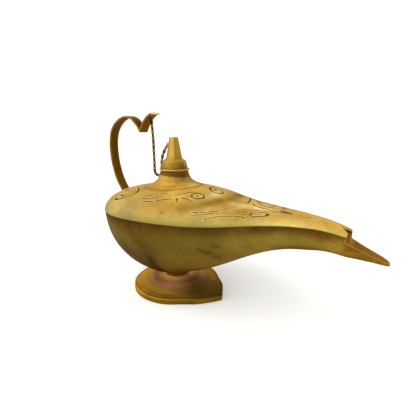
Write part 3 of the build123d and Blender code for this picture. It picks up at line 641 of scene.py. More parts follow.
def cover_extra(m, colour, roughness, normal, n):
    # a pale band painted along the rim: painted highlight on the cover's rounded side
    rim = m.attr("rim")
    wavy = m.math("ADD", rim, m.fit(n["patch"], 0.3, 0.7, -3.5, 3.5))
    colour = m.mix(m.fit(wavy, 15.0, 5.0, 0.0, 0.85, "SMOOTHSTEP"), colour, lin(202, 176, 92, K))
    colour = m.mix(m.fit(wavy, 5.0, 0.6, 0.0, 0.7), colour, lin(176, 160, 92, K))
    pink = m.attr("pink")
    colour = m.mix(m.math("MULTIPLY", pink, 0.45), colour, lin(204, 152, 88, K))
    # painted light and shade: darker where shade is painted, paler where highlights are painted
    light_shade_tint = m.attr("light_shade_tint")
    light_shade_tint = m.math("MULTIPLY", light_shade_tint, m.fit(n["patch"], 0.32, 0.66, 0.75, 1.25))
    colour = m.mix(m.fit(light_shade_tint, 0.0, -1.0, 0.0, 0.9), colour, lin(124, 82, 18, K))
    colour = m.mix(m.fit(light_shade_tint, 0.0, 1.0, 0.0, 0.9), colour, lin(246, 224, 164, K))
    spot = m.attr("spot")
    spot = m.math("MULTIPLY", spot, m.fit(n["fine"], 0.35, 0.6, 0.4, 1.1))
    colour = m.mix(spot, colour, lin(120, 96, 50, K))
    # painted light and shade: the cover painted lighter or darker as light falls on it
    colour = m.mix(1.0, colour, m.attr("painted_light_and_shade"), "MULTIPLY")
    d = m.attr("cut")
    wob = m.math("ADD", d, m.fit(n["fine"], 0.3, 0.7, -0.08, 0.08))
    halo = m.fit(wob, 1.3, 0.35, 0.0, 0.6, "SMOOTHSTEP")
    colour = m.mix(halo, colour, lin(236, 206, 126, K))
    wear_and_sheen = m.fit(m.noise(240, 3.0, 0.6, 0.6, seed=41), 0.36, 0.56, 0.62, 0.97)
    line = m.math("MULTIPLY", m.fit(wob, 0.40, -0.08, 0.0, 1.0, "SMOOTHSTEP"), wear_and_sheen)
    colour = m.mix(line, colour, lin(88, 42, 12, K))
    roughness = m.math("ADD", roughness, m.math("MULTIPLY", line, 0.3))
    groove = m.fit(wob, 0.45, -0.3, 1.0, 0.0, "SMOOTHSTEP")
    normal = m.bump(groove, 0.0001, 0.4, normal)
    # painted highlight along the cover's front end and notch
    edge = m.attr("edge")
    colour = m.mix(m.math("MULTIPLY", edge, 0.6), colour, lin(226, 184, 92, K))
    return colour, roughness, normal


def bowl_extra(m, colour, roughness, normal, n):
    # colour down the bowl from the seam: a painted shadow of the cover's overhang just below the seam, over patina in
    # the joint, then painted shade darkening towards the bottom
    below = m.attr("below")
    wavy = m.math("ADD", below, m.fit(n["patch"], 0.3, 0.7, -4.0, 4.0))
    depth_f = m.fit(wavy, 0.0, 80.0)
    ramp = m.ramp(depth_f, [
        (0.0, lin(56, 34, 4, K)), (0.04, lin(78, 52, 8, K)), (0.10, lin(108, 78, 20, K)), (0.20, lin(122, 96, 34, K)),
        (0.40, lin(120, 98, 40, K)), (0.60, lin(118, 90, 32, K)), (0.80, lin(114, 78, 22, K)), (1.0, lin(92, 56, 10, K))])
    colour = m.mix(0.70, colour, ramp)
    # olive patina along the bowl's side, lightened there as a painted highlight
    olive = m.attr("olive")
    colour = m.mix(m.math("MULTIPLY", olive, 0.6), colour, lin(126, 116, 56, K))
    rusty = m.attr("rusty")
    colour = m.mix(m.math("MULTIPLY", rusty, 0.75), colour, lin(150, 98, 30, K))
    # painted shade: darker under the seam, under the spout and low down on the bowl
    light_shade_tint = m.attr("light_shade_tint")
    light_shade_tint = m.math("MULTIPLY", light_shade_tint, m.fit(n["patch"], 0.32, 0.66, 0.6, 1.4))
    colour = m.mix(m.fit(light_shade_tint, 0.0, -1.0, 0.0, 0.9), colour, lin(62, 34, 2, K))
    colour = m.mix(m.fit(light_shade_tint, 0.0, 1.0, 0.0, 0.8), colour, lin(184, 144, 58, K))
    spot = m.math("MULTIPLY", m.attr("spot"), m.fit(n["fine"], 0.36, 0.6, 0.3, 1.25))
    colour = m.mix(spot, colour, lin(70, 48, 16, K))
    blot = m.fit(m.noise(52, 6.0, 0.68, 1.2, seed=31), 0.60, 0.72)
    colour = m.mix(m.math("MULTIPLY", blot, 0.38), colour, lin(72, 50, 14, K))
    # painted light and shade over the bowl
    colour = m.mix(1.0, colour, m.attr("painted_light_and_shade"), "MULTIPLY")
    # painted highlight along the lip's rim
    edge = m.attr("edge")
    colour = m.mix(edge, colour, lin(198, 146, 40, K))
    # painted light inside: the inner walls painted brighter than the shade there, most at the mouth
    inside = m.attr("inside")
    colour = m.mix(m.math("MULTIPLY", inside, 0.9), colour, m.mix(1.0, lin(156, 113, 50, K), m.attr("painted_light_and_shade"), "MULTIPLY"))
    return colour, roughness, normal


def edge_extra(rgb, amount=0.8):
    def extra(m, colour, roughness, normal, n):
        edge = m.attr("edge")
        wear_and_sheen = m.math("MULTIPLY", edge, m.fit(n["patch"], 0.3, 0.6, 0.45, 1.0))
        colour = m.mix(m.math("MULTIPLY", wear_and_sheen, amount), colour, lin(*rgb, K))
        roughness = m.math("SUBTRACT", roughness, m.math("MULTIPLY", wear_and_sheen, 0.12))
        return colour, roughness, normal
    return extra


def dome_extra(m, colour, roughness, normal, n):
    rr = m.math("ADD", m.attr("ring"), m.fit(n["patch"], 0.3, 0.7, -1.2, 1.2))
    # paler near the stem: painted light on the slope there
    colour = m.mix(m.fit(rr, 19.0, 13.0, 0.0, 0.95, "SMOOTHSTEP"), colour, lin(200, 152, 84, K))
    # a pale purple ring round the dome's shoulder: painted highlight
    lilac_highlight = m.fit(m.math("ABSOLUTE", m.math("SUBTRACT", rr, 23.6)), 4.4, 0.8, 0.0, 0.6, "SMOOTHSTEP")
    colour = m.mix(lilac_highlight, colour, lin(176, 130, 88, K))
    colour = m.mix(m.fit(rr, 25.0, 29.2, 0.0, 0.97, "SMOOTHSTEP"), colour, lin(150, 112, 38, K))
    # painted light and shade over the dome
    colour = m.mix(1.0, colour, m.attr("painted_light_and_shade"), "MULTIPLY")
    return colour, roughness, normal


def plate_extra(m, colour, roughness, normal, n):
    x, y, z = m.xyz()
    edge = m.attr("edge")
    groove = m.fit(m.math("ABSOLUTE", m.math("SUBTRACT", m.attr("in"), 1.5)), 1.8, 0.2, 0.0, 0.45, "SMOOTHSTEP")
    top = m.fit(z, 0.0046, 0.00485)
    colour = m.mix(m.math("MULTIPLY", groove, top), colour, lin(92, 66, 14, K))
    # edge wear with painted highlight: the rounded edges painted lighter
    wear_and_sheen = m.math("MULTIPLY", edge, m.fit(n["patch"], 0.3, 0.6, 0.45, 1.0))
    colour = m.mix(m.math("MULTIPLY", wear_and_sheen, 0.4), colour, lin(182, 138, 44, K))
    # painted shade: the plate's sides painted darker than its top; the colour also darkens towards the bottom edge
    side = m.fit(z, 0.0044, 0.0040)
    colour = m.mix(m.math("MULTIPLY", side, 0.75), colour, lin(158, 116, 22, K))
    colour = m.mix(m.fit(z, 0.0018, 0.0, 0.0, 0.45), colour, lin(112, 72, 6, K))
    # painted light and shade over the plate
    colour = m.mix(1.0, colour, m.attr("painted_light_and_shade"), "MULTIPLY")
    return colour, roughness, normal


def neck_extra(m, colour, roughness, normal, n):
    # painted highlights and shade on the flare
    light_shade_tint = m.math("MULTIPLY", m.attr("light_shade_tint"), m.fit(n["patch"], 0.32, 0.66, 0.7, 1.3))
    colour = m.mix(m.fit(light_shade_tint, 0.0, -1.0, 0.0, 0.9), colour, lin(128, 100, 40, K))
    colour = m.mix(m.fit(light_shade_tint, 0.0, 1.0, 0.0, 0.9), colour, lin(244, 226, 176, K))
    # painted light and shade
    colour = m.mix(1.0, colour, m.attr("painted_light_and_shade"), "MULTIPLY")
    # painted shadow of the cap's flange over the neck's top, on its dark tarnish
    colour = m.mix(m.math("MULTIPLY", m.attr("flange_shadow_and_tarnish"), 0.92), colour, lin(106, 78, 30, K))
    return colour, roughness, normal


def cap_extra(m, colour, roughness, normal, n):
    # painted light and shade on the cap's pieces
    light_shade_tint = m.attr("light_shade_tint")
    colour = m.mix(m.fit(light_shade_tint, 0.0, -1.0, 0.0, 0.9), colour, lin(104, 84, 30, K))
    colour = m.mix(m.fit(light_shade_tint, 0.0, 1.0, 0.0, 0.8), colour, lin(240, 206, 122, K))
    # edge wear with painted highlight on the rims and corners
    wear_and_sheen = m.math("MULTIPLY", m.attr("edge"), m.fit(n["patch"], 0.3, 0.6, 0.45, 1.0))
    colour = m.mix(m.math("MULTIPLY", wear_and_sheen, 0.7), colour, lin(232, 198, 112, K))
    roughness = m.math("SUBTRACT", roughness, m.math("MULTIPLY", wear_and_sheen, 0.1))
    return colour, roughness, normal


def strap_extra(m, colour, roughness, normal, n):
    # edge wear with painted highlight along the strap's edges
    wear_and_sheen = m.math("MULTIPLY", m.attr("edge"), m.fit(n["patch"], 0.3, 0.6, 0.45, 1.0))
    colour = m.mix(m.math("MULTIPLY", wear_and_sheen, 0.62), colour, lin(196, 156, 66, K))
    grain = m.noise(420, 3.0, 0.6, 0.0, stretch=(0.3, 1.6, 0.3), seed=51)
    colour = m.mix(m.math("MULTIPLY", m.attr("gold"), m.fit(grain, 0.35, 0.65, 0.3, 0.95)), colour, lin(150, 104, 22, K))
    # painted light and shade along the strap
    colour = m.mix(1.0, colour, m.attr("painted_light_and_shade"), "MULTIPLY")
    # painted highlight on the top of the free end
    tip = m.attr("tip")
    colour = m.mix(tip, colour, lin(240, 228, 180, 0.86))
    roughness = m.math("SUBTRACT", roughness, m.math("MULTIPLY", wear_and_sheen, 0.12))
    return colour, roughness, normal


MAT_COVER = brass("brass_cover", (186, 140, 52), (208, 166, 74), (224, 188, 98), (0.46, 0.64), 0.60, seed=1.0, wash=(1.0, 1.035, 1.02), spots=0.12, rust=0.12, extra=cover_extra)
MAT_BOWL = brass("bronze_bowl", (92, 68, 22), (116, 90, 34), (138, 112, 48), (0.60, 0.76), 0.14, spec=0.04, seed=2.0, spots=0.32, wash=(1.0, 0.98, 0.76), extra=bowl_extra)
MAT_NECK = brass("brass_neck", (192, 140, 50), (206, 162, 68), (220, 184, 90), (0.36, 0.52), 0.68, grain=0.8, seed=3.0, spots=0.12, rust=0.18, extra=neck_extra)
MAT_CAP = brass("brass_cap", (184, 138, 50), (204, 162, 68), (218, 180, 86), (0.38, 0.54), 0.66, grain=0.6, seed=4.0, spots=0.12, rust=0.12, wash=(0.96, 0.93, 0.74), extra=cap_extra)
# dark brown for the band under the cap's flange: painted shadow of the flange, as well as tarnish
MAT_BAND = brass("brown_band", (90, 64, 22), (108, 80, 30), (124, 96, 42), (0.46, 0.64), 0.55, seed=5.0, spots=0.3, wash=(1.0, 0.97, 0.8))
MAT_PLAIN = brass("brass_plain", (132, 94, 30), (156, 114, 42), (178, 138, 62), (0.40, 0.56), 0.7, grain=0.5, seed=6.0, spots=0.2, wash=(1.0, 0.96, 0.8))
MAT_DARK = brass("brass_dark", (64, 40, 10), (84, 56, 16), (108, 78, 26), (0.5, 0.66), 0.4, grain=0.4, spec=0.05, seed=14.0, spots=0.3, wash=(1.0, 0.95, 0.6))
MAT_STRAP = brass("handle_bronze", (88, 58, 10), (104, 71, 12), (126, 90, 22), (0.56, 0.72), 0.20, grain=0.8, spec=0.04, seed=7.0, spots=0.25, wash=(0.99, 0.96, 0.8), extra=strap_extra)
MAT_FOOT = brass("aged_brass", (150, 108, 32), (176, 134, 48), (194, 154, 64), (0.46, 0.64), 0.55, spec=0.1, seed=8.0, spots=0.22, wash=(1.0, 0.98, 0.75), extra=plate_extra)
MAT_DOME = brass("copper_patina", (128, 82, 42), (150, 100, 56), (168, 116, 70), (0.46, 0.62), 0.42, spec=0.1, seed=9.0, spots=0.14, rust=0.15, extra=dome_extra)
MAT_STEM = brass("bronze_dark", (84, 58, 14), (104, 76, 22), (124, 94, 32), (0.46, 0.62), 0.5, spec=0.05, seed=10.0, spots=0.3, wash=(0.95, 0.87, 0.5))


def chain_extra(m, colour, roughness, normal, n):
    # painted shade and patina where the links hook into each other
    dark = m.attr("dark")
    f = m.math("ADD", dark, m.fit(n["patch"], 0.35, 0.65, -0.15, 0.15))
    colour = m.mix(m.fit(f, 0.15, 0.8, 0.0, 1.0, "SMOOTHSTEP"), colour, lin(58, 34, 8, K))
    roughness = m.math("ADD", roughness, m.math("MULTIPLY", dark, 0.2))
    return colour, roughness, normal


MAT_CHAIN = brass("chain_brass", (146, 122, 38), (172, 150, 56), (196, 174, 82), (0.56, 0.68), 0.10, grain=0.25, spec=0.05, seed=12.0, spots=0.1, rust=0.1, wash=(1.0, 0.98, 0.75), extra=chain_extra)


def cotton_material():
    m = Mat("cotton")
    x = m.xyz()[0]
    braid = m.noise(1100, 2.0, 0.5, 0.0, stretch=(0.5, 1, 1), seed=15)
    colour = m.ramp(m.fit(braid, 0.3, 0.7), [(0.0, lin(170, 158, 132)), (1.0, lin(224, 216, 196))])
    burnt = m.fit(m.math("ADD", x, m.fit(braid, 0.3, 0.7, -0.002, 0.002)), 0.112, 0.128, 0.0, 1.0, "SMOOTHSTEP")
    colour = m.mix(burnt, colour, lin(34, 26, 20))
    return m.finish(colour, 0.95, 0.0, m.bump(braid, 0.0004, 0.8))


def cork_material():
    m = Mat("cork")
    n1 = m.noise(420, 6.0, 0.7, 0.5, seed=16)
    colour = m.ramp(m.fit(n1, 0.3, 0.7), [(0.0, lin(84, 52, 26)), (0.45, lin(142, 98, 58)), (1.0, lin(176, 130, 84))])
    return m.finish(colour, 0.9, 0.0, m.bump(n1, 0.0003, 0.7))


def fibre_material():
    m = Mat("fibre")
    n1 = m.noise(500, 5.0, 0.6, 0.2, seed=17)
    colour = m.ramp(m.fit(n1, 0.3, 0.7), [(0.0, lin(96, 36, 24)), (1.0, lin(136, 58, 40))])
    return m.finish(colour, 0.7, 0.0, m.bump(n1, 0.0001, 0.6))


def steel_material():
    m = Mat("steel")
    n1 = m.noise(300, 4.0, 0.6, 0.2, seed=18)
    n2 = m.noise(1600, 2.0, 0.5, 0.0, stretch=(1, 1, 0.1), seed=19)
    colour = m.ramp(m.fit(n1, 0.3, 0.7), [(0.0, lin(150, 148, 140)), (1.0, lin(196, 194, 188))])
    return m.finish(colour, m.fit(n1, 0.3, 0.7, 0.28, 0.5), 1.0, m.bump(n2, 0.00006, 0.6))


MAT_COTTON, MAT_CORK, MAT_FIBRE, MAT_STEEL = cotton_material(), cork_material(), fibre_material(), steel_material()


def dress(node, mat):
    ob = NODES[node]
    if not ob.material_slots:
        ob.data.materials.append(mat)
    for s in ob.material_slots:
        s.material = mat


for _node, _mat in {
    "neck_liner": MAT_PLAIN, "cap_plug": MAT_PLAIN, "cap_eye": MAT_PLAIN, "handle_eye": MAT_DARK, "wick_tube": MAT_PLAIN,
    "chain_ring_upper": MAT_DARK, "chain_ring_lower": MAT_PLAIN, "cap_gasket": MAT_CORK, "foot_washer": MAT_FIBRE,
    "foot_screw": MAT_STEEL, "cap_stud": MAT_STEEL, "cap_nut": MAT_STEEL, "wick": MAT_COTTON,
}.items():
    dress(_node, _mat)


# ------------------------------------------------------------------ chain
# the route of the chain's CAD tube, in metres, with one more point on the long straight strand
CHAIN_ROUTE = [
    (-0.0266, 0.0, 0.14385), (-0.0253, 0.0, 0.1382), (-0.0251, 0.0, 0.1092), (-0.0251, 0.0, 0.0998), (-0.0157, 0.0, 0.0998),
    (-0.0159, 0.0, 0.1120), (-0.0134, 0.0, 0.1196), (-0.0095, 0.0, 0.12445),
]
curve = bpy.data.curves.new("chain_line", "CURVE")
curve.dimensions = "3D"
curve.resolution_u = 24
nurbs = curve.splines.new("NURBS")
nurbs.points.add(len(CHAIN_ROUTE) - 1)
for point, co in zip(nurbs.points, CHAIN_ROUTE):
    point.co = (*co, 1.0)
nurbs.order_u = 3
nurbs.use_endpoint_u = True
line_object = bpy.data.objects.new("chain_line", curve)
bpy.context.scene.collection.objects.link(line_object)
line_mesh = bpy.data.meshes.new_from_object(line_object.evaluated_get(bpy.context.evaluated_depsgraph_get()))
CHAIN_PATH = np.array([v.co[:] for v in line_mesh.vertices])
bpy.data.objects.remove(line_object)
bpy.data.curves.remove(curve)
bpy.data.meshes.remove(line_mesh)


def build_chain():
    p = CHAIN_PATH / MM
    s = np.r_[0.0, np.cumsum(np.linalg.norm(np.diff(p, axis=0), axis=1))]
    total = s[-1]
    wire, width = 1.15, 2.9
    count = int(round(total / 2.62))
    pitch = total / count
    reach = (pitch + wire) / 2
    rad = (width - wire) / 2
    straight = reach - rad
    # once round the link: along +u on one side, round the end, back along the other side
    oval = []
    for q in np.linspace(-90, 90, 9):
        a = math.radians(q)
        oval.append((straight + rad * math.cos(a), rad * math.sin(a)))
    for q in np.linspace(90, 270, 9):
        a = math.radians(q)
        oval.append((-straight + rad * math.cos(a), rad * math.sin(a)))
    oval = np.array(oval)
    m, sides = len(oval), 10
    verts, faces, dark = [], [], []
    for k in range(-1, count):
        at = (k + 0.5) * pitch
        c = np.array([np.interp(at, s, p[:, i]) for i in range(3)])
        if k < 0:
            c = c + (p[0] - p[1]) / np.linalg.norm(p[1] - p[0]) * abs(at)
        t = np.array([np.interp(min(at + 0.5, total), s, p[:, i]) - np.interp(max(at - 0.5, 0), s, p[:, i]) for i in range(3)])
        if k < 0:
            t = p[1] - p[0]
        t /= np.linalg.norm(t)
        side = np.array([0.0, 1.0, 0.0])
        flat = np.cross(t, side)
        spin = math.radians((100 if k % 2 else 10) + 8 * math.sin(k * 2.4))
        u = math.cos(spin) * side + math.sin(spin) * flat
        w = np.cross(t, u)
        base = len(verts)
        for i in range(m):
            a, b = oval[i - 1], oval[(i + 1) % m]
            d = (b - a) / np.linalg.norm(b - a)
            nrm = np.array([d[1], -d[0]])
            for q in range(sides):
                g = 2 * math.pi * q / sides
                off = wire / 2 * (math.cos(g) * (nrm[0] * t + nrm[1] * u) + math.sin(g) * w)
                verts.append(c + oval[i][0] * t + oval[i][1] * u + off)
                # painted shade where the links hook into each other, on patina in those hollows, round the middle of
                # every second link
                away = abs(oval[i][0]) if k % 2 else pitch - abs(oval[i][0])
                dark.append(float(smoothstep((1.55 - away) / 0.7)) if k >= 0 else 1.0)
        for i in range(m):
            n = (i + 1) % m
            for q in range(sides):
                r = (q + 1) % sides
                faces.append((base + i * sides + q, base + n * sides + q, base + n * sides + r, base + i * sides + r))
    # the first link goes through the ring on the handle and stays with it
    one = m * sides
    make("chain_end_link", np.array(verts[:one]), faces[:one], "lamp", (), MAT_CHAIN, {"dark": dark[:one]})
    faces = [tuple(v - one for v in f) for f in faces[one:]]
    ob = make("chain_links", np.array(verts[one:]), faces, None, ("chain",), MAT_CHAIN, {"dark": dark[one:]})
    return ob, total * MM


chain_ob, chain_length = build_chain()
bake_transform(chain_ob)


# ------------------------------------------------------------------ cover
def rear_and_front(n_rear, n_body, n_front, x_body=120.0, x_end=X_MOUTH):
    q = np.linspace(math.pi / 2, 0.0, n_rear + 1)[:-1]
    rear = X_W - (X_W - X_BACK) * np.sin(q)
    return np.r_[rear, np.linspace(X_W, x_body, n_body + 1)[:-1], np.linspace(x_body, x_end, n_front + 1)]


def build_cover():
    k = 5
    n_rear, n_body, n_front = 130, 275, 35
    base_x = rear_and_front(n_rear, n_body, n_front)
    ni = len(base_x) - 1
    half = 100                      # fine rows from one edge to the middle
    # share of the way from the rim to the middle for each row
    f = np.linspace(0, 1, half + 1)
    notch_row = None

    def outer_half(x):
        y, z = cover_section(x)
        zs = float(seam_z(x)) + 0.05
        r = min(0.6, 0.4 * float(half_w(x)), 0.35 * float(crown(x)))
        cy, cz, cs = cut_line(y, z, zs + r)
        w = cy[0]
        arc = [(w - r + r * math.cos(a), zs + r + r * math.sin(a)) for a in np.linspace(-math.pi / 2, 0, 6)[:-1]]
        flat = [(max(w - r - 0.9, w * 0.3), zs)]
        pts = np.array(flat + arc + list(zip(cy, cz)))
        n0 = len(flat) + len(arc)
        s = np.r_[0.0, np.cumsum(np.hypot(np.diff(pts[:, 0]), np.diff(pts[:, 1])))]
        s_edge = s[n0]
        rows = np.r_[np.linspace(0, s_edge, 7), s_edge + (s[-1] - s_edge) * (np.arange(1, half - 6 + 1) / (half - 6)) ** 0.97]
        return np.interp(rows, s, pts[:, 0]), np.interp(rows, s, pts[:, 1]), rows - s_edge

    def inner_half(x):
        y, z = cover_section(x, INSET, WALL)
        zs = float(seam_z(x)) + 0.05
        cy, cz, cs = cut_line(y, z, zs)
        rows = cs[-1] * (np.arange(half // k + 1) / (half // k)) ** 1.0
        return np.interp(rows, cs, cy), np.interp(rows, cs, cz)

    # the front end: straight across, with a notch in the middle
    yo, zo, _ = outer_half(X_MOUTH)
    j_notch = int(np.argmin(np.abs(yo - NOTCH_HALF)))
    j_notch = (j_notch // k) * k
    scale = NOTCH_HALF / yo[j_notch]

    def x_end(j):
        if j <= j_notch:
            return X_MOUTH
        x = X_MOUTH
        for _ in range(6):
            yy = outer_half(x)[0][j]
            x = X_MOUTH - NOTCH_DEPTH * (1 - min(yy / max(yo[j_notch], 1e-6), 1.0))
        return x

    ends = np.array([x_end(j) for j in range(half + 1)])
    outer = np.zeros((ni + 1, 2 * half + 1, 3))
    rim = np.zeros((ni + 1, 2 * half + 1))
    x0 = 120.0
    start = n_rear + n_body
    # body up to x0 has the same x in every row, and the front's columns close up towards the notch
    for i in range(start + 1):
        x = base_x[i]
        if i == 0:
            outer[0, :, :] = (X_BACK, 0.0, float(seam_z(X_BACK)) + 0.05)
            continue
        y, z, s = outer_half(x)
        outer[i, : half + 1] = np.c_[np.full(half + 1, x), -y, z]
        outer[i, half:] = np.c_[np.full(half + 1, x), y, z][::-1]
        rim[i, : half + 1] = s
        rim[i, half:] = s[::-1]
    cache_x = np.linspace(x0, X_MOUTH, 80)
    cache = [outer_half(x) for x in cache_x]
    cy = np.array([c[0] for c in cache])
    cz = np.array([c[1] for c in cache])
    cs = np.array([c[2] for c in cache])
    for i in range(start, ni + 1):
        g = (i - start) / (ni - start)
        for j in range(half + 1):
            x = x0 + (ends[j] - x0) * g
            y, z, s = np.interp(x, cache_x, cy[:, j]), np.interp(x, cache_x, cz[:, j]), np.interp(x, cache_x, cs[:, j])
            outer[i, j] = (x, -y, z)
            outer[i, 2 * half - j] = (x, y, z)
            rim[i, j] = rim[i, 2 * half - j] = s
    ci, cj = ni // k, 2 * half // k
    inner = np.zeros((ci + 1, cj + 1, 3))
    hc = cj // 2
    for i in range(ci + 1):
        for j in range(hc + 1):
            x = outer[i * k, j * k, 0]
            x = max(x, X_BACK + INSET + 0.02) if i else X_BACK + INSET
            if i == 0:
                inner[0, j] = inner[0, cj - j] = (x, 0.0, float(seam_z(x)) + 0.05)
                continue
            y, z = inner_half(x)
            inner[i, j] = (x, -y[j], z[j])
            inner[i, cj - j] = (x, y[j], z[j])
    keep = np.ones((ci, cj), bool)
    for i in range(ci):
        for j in range(cj):
            c = outer[i * k : (i + 1) * k + 1 : k, j * k : (j + 1) * k + 1 : k].reshape(-1, 3)
            if np.hypot(c[:, 0], c[:, 1]).max() < 15.5:
                keep[i, j] = False
    # engraved lines
    P = outer.reshape(-1, 3)
    d = distance_to_lines(P, stroke_lines())
    zone = rim.ravel() > 3.0
    d = np.where(zone, d, 4.0)
    gu = np.gradient(outer, axis=0).reshape(-1, 3)
    gv = np.gradient(outer, axis=1).reshape(-1, 3)
    nrm = np.cross(gu, gv)
    nrm /= np.maximum(np.linalg.norm(nrm, axis=1), 1e-9)[:, None]
    nrm *= np.sign(nrm[:, 2:3] + 1e-9)
    depth_mm = 0.14 * smoothstep((0.45 - d) / 0.75)
    raised = 0.03 * np.exp(-(((d - 0.75) / 0.3) ** 2)) * (P[:, 0] < 142)
    moved = P + nrm * (raised - depth_mm)[:, None]
    # painted light and shade on the cover: the dark marks painted shade in the valley between the dome and the spout,
    # the light marks painted highlights
    marks = [
        ([(42.6, -35.4), (46.9, -30.4), (53.4, -21.4), (56.5, -13.5), (58.9, -2.0)], 3.0, -0.42, True),
        ([(53.4, -21.4), (56.5, -13.5)], 2.6, -0.22, True),
        ([(54.6, 9.9), (55.2, 14.0)], 4.5, -0.30, False),
        ([(46.4, -14.0), (47.4, -7.0), (45.4, -1.0), (43.6, 4.0)], 3.0, 0.62, False),
        ([(40.0, -16.4)], 2.6, 0.50, True),
        ([(30.5, -21.4)], 3.4, 0.26, True),
        ([(91.0, -15.0)], 2.6, 0.35, True),
        ([(-26.0, -36.5)], 4.0, 0.35, True),
        ([(45.9, 18.6), (47.4, 9.0)], 3.4, 0.30, False),
        ([(67.3, -7.7), (78.4, -6.0), (90.0, -6.0), (99.0, -5.6)], 3.0, 0.50, False),
        ([(84.0, -5.6), (93.0, -5.8)], 1.8, 0.40, False),
        ([(67.3, 7.7), (78.4, 6.0), (90.0, 6.0)], 3.2, 0.30, False),
        ([(50.0, -34.0), (66.0, -24.0)], 4.0, 0.16, True),
        ([(-24.0, -41.5), (-13.0, -46.5), (0.0, -46.0)], 6.0, 0.25, True),
        ([(92.0, -21.5), (118.0, -11.5)], 3.0, 0.20, True),
    ]
    light_shade_tint = soft_marks(P, marks)
    r_axis = np.hypot(P[:, 0], P[:, 1])
    # painted shadow in a ring round the neck's foot
    light_shade_tint -= 0.42 * np.exp(-(((r_axis - 24.4) / 2.4) ** 2))
    pink = np.clip(soft_marks(P, [
        ([(-6.0, -47.5), (8.0, -46.5)], 4.0, 0.5, True), ([(16.0, -44.5), (34.0, -40.5)], 4.0, 0.5, True),
        ([(-30.0, -32.0)], 7.0, 0.2, True), ([(118.0, -7.0), (130.0, -6.0)], 2.5, 0.35, True), ([(104.0, 4.0), (120.0, 3.0)], 3.0, 0.3, True)]), 0, 1)
    spot = np.clip(soft_marks(P, [
        ([(29.0, -44.4), (29.8, -43.6)], 0.9, 0.55, True), ([(62.0, -35.3), (63.2, -34.7)], 0.9, 0.5, True), ([(66.3, -34.4)], 0.8, 0.4, True),
        ([(-10.5, -49.2)], 1.1, 0.30, True), ([(80.0, -27.0), (81.2, -26.4)], 0.7, 0.4, True),
        ([(131.0, -5.0)], 0.9, 0.4, True), ([(104.0, -17.0)], 0.7, 0.4, True)]), 0, 1)
    # painted light and shade: the cover lighter or darker place by place
    painted_light_and_shade = light_and_shade_field(P, [
        ((-34.0, -46.3, 76.4), 0.85), ((-3.2, -51.0, 77.2), 0.56), ((22.4, -48.7, 77.3), 0.72), ((42.0, -44.0, 77.8), 0.66), ((60.1, -38.4, 78.6), 0.52), ((78.0, -31.0, 80.0), 0.6),
        ((89.9, -24.4, 81.2), 0.66), ((118.2, -13.2, 83.2), 1.45), ((134.7, -8.7, 81.5), 1.30), ((-17.7, -46.6, 81.2), 0.96), ((16.9, -43.5, 84.3), 0.82), ((42.1, -38.4, 83.5), 0.92),
        ((65.5, -29.1, 83.3), 1.20), ((-2.8, -25.9, 92.0), 1.00), ((30.4, -20.3, 91.9), 1.42), ((55.9, -16.4, 87.9), 1.0), ((42.9, -3.1, 91.5), 1.40),
        ((79.6, -20.2, 84.5), 1.20), ((92.3, -13.4, 85.2), 1.40), ((107.7, -11.7, 84.8), 1.12), ((122.5, -8.5, 84.1), 1.14), ((43.7, 13.3, 90.7), 0.82)], 7.0)
    # distance from the rim for the painted highlight band along it, narrower towards the spout
    band = rim * (1.0 + 2.6 * smoothstep((outer[..., 0] - 55.0) / 80.0))
    # painted highlight on the last rows, at the front end
    edge = np.zeros(outer.shape[:2])
    edge[-3:, :] = 1.0
    verts, faces = shell_mesh(moved.reshape(outer.shape), inner, k, keep, skip_walls=("low_i",))
    extra_n = inner.reshape(-1, 3).shape[0]
    attrs = {
        "cut": np.r_[d, np.full(extra_n, 4.0)],
        "rim": np.r_[band.ravel(), np.full(extra_n, 30.0)],
        "painted_light_and_shade": np.r_[painted_light_and_shade, np.full(extra_n, 1.0)],
        # painted shade: the cover's inside painted darker, less near the mouth
        "light_shade_tint": np.r_[light_shade_tint, np.where(inner.reshape(-1, 3)[:, 0] > 132.0, -0.1, -0.55)],
        "pink": np.r_[pink, np.zeros(extra_n)],
        "spot": np.r_[spot, np.zeros(extra_n)],
        "edge": np.r_[edge.ravel(), np.zeros(extra_n)],
    }
    verts, faces, attrs = drop_loose(verts, faces, attrs)
    return make("lamp_cover", verts, faces, "lamp", ("cover",), MAT_COVER, attrs, merge=0.004, sharp=50)


cover_ob = build_cover()


# ------------------------------------------------------------------ bowl
def inner_half_width(x):
    if x < X_LIP_ROUND:
        wall = float(smooth([120, X_MOUTH, 150], [INSET, WALL + 0.3, LIP_WALL + 0.3], x)) if x > 120 else INSET
        return float(half_w(x, wall))
    u = min((x - X_LIP_ROUND) / (X_TIP - 1.5 - X_LIP_ROUND), 1.0)
    return (float(half_w(X_LIP_ROUND)) - LIP_WALL - 0.3) * max(1 - u**2.3, 0.006) ** (1 / 2.3)


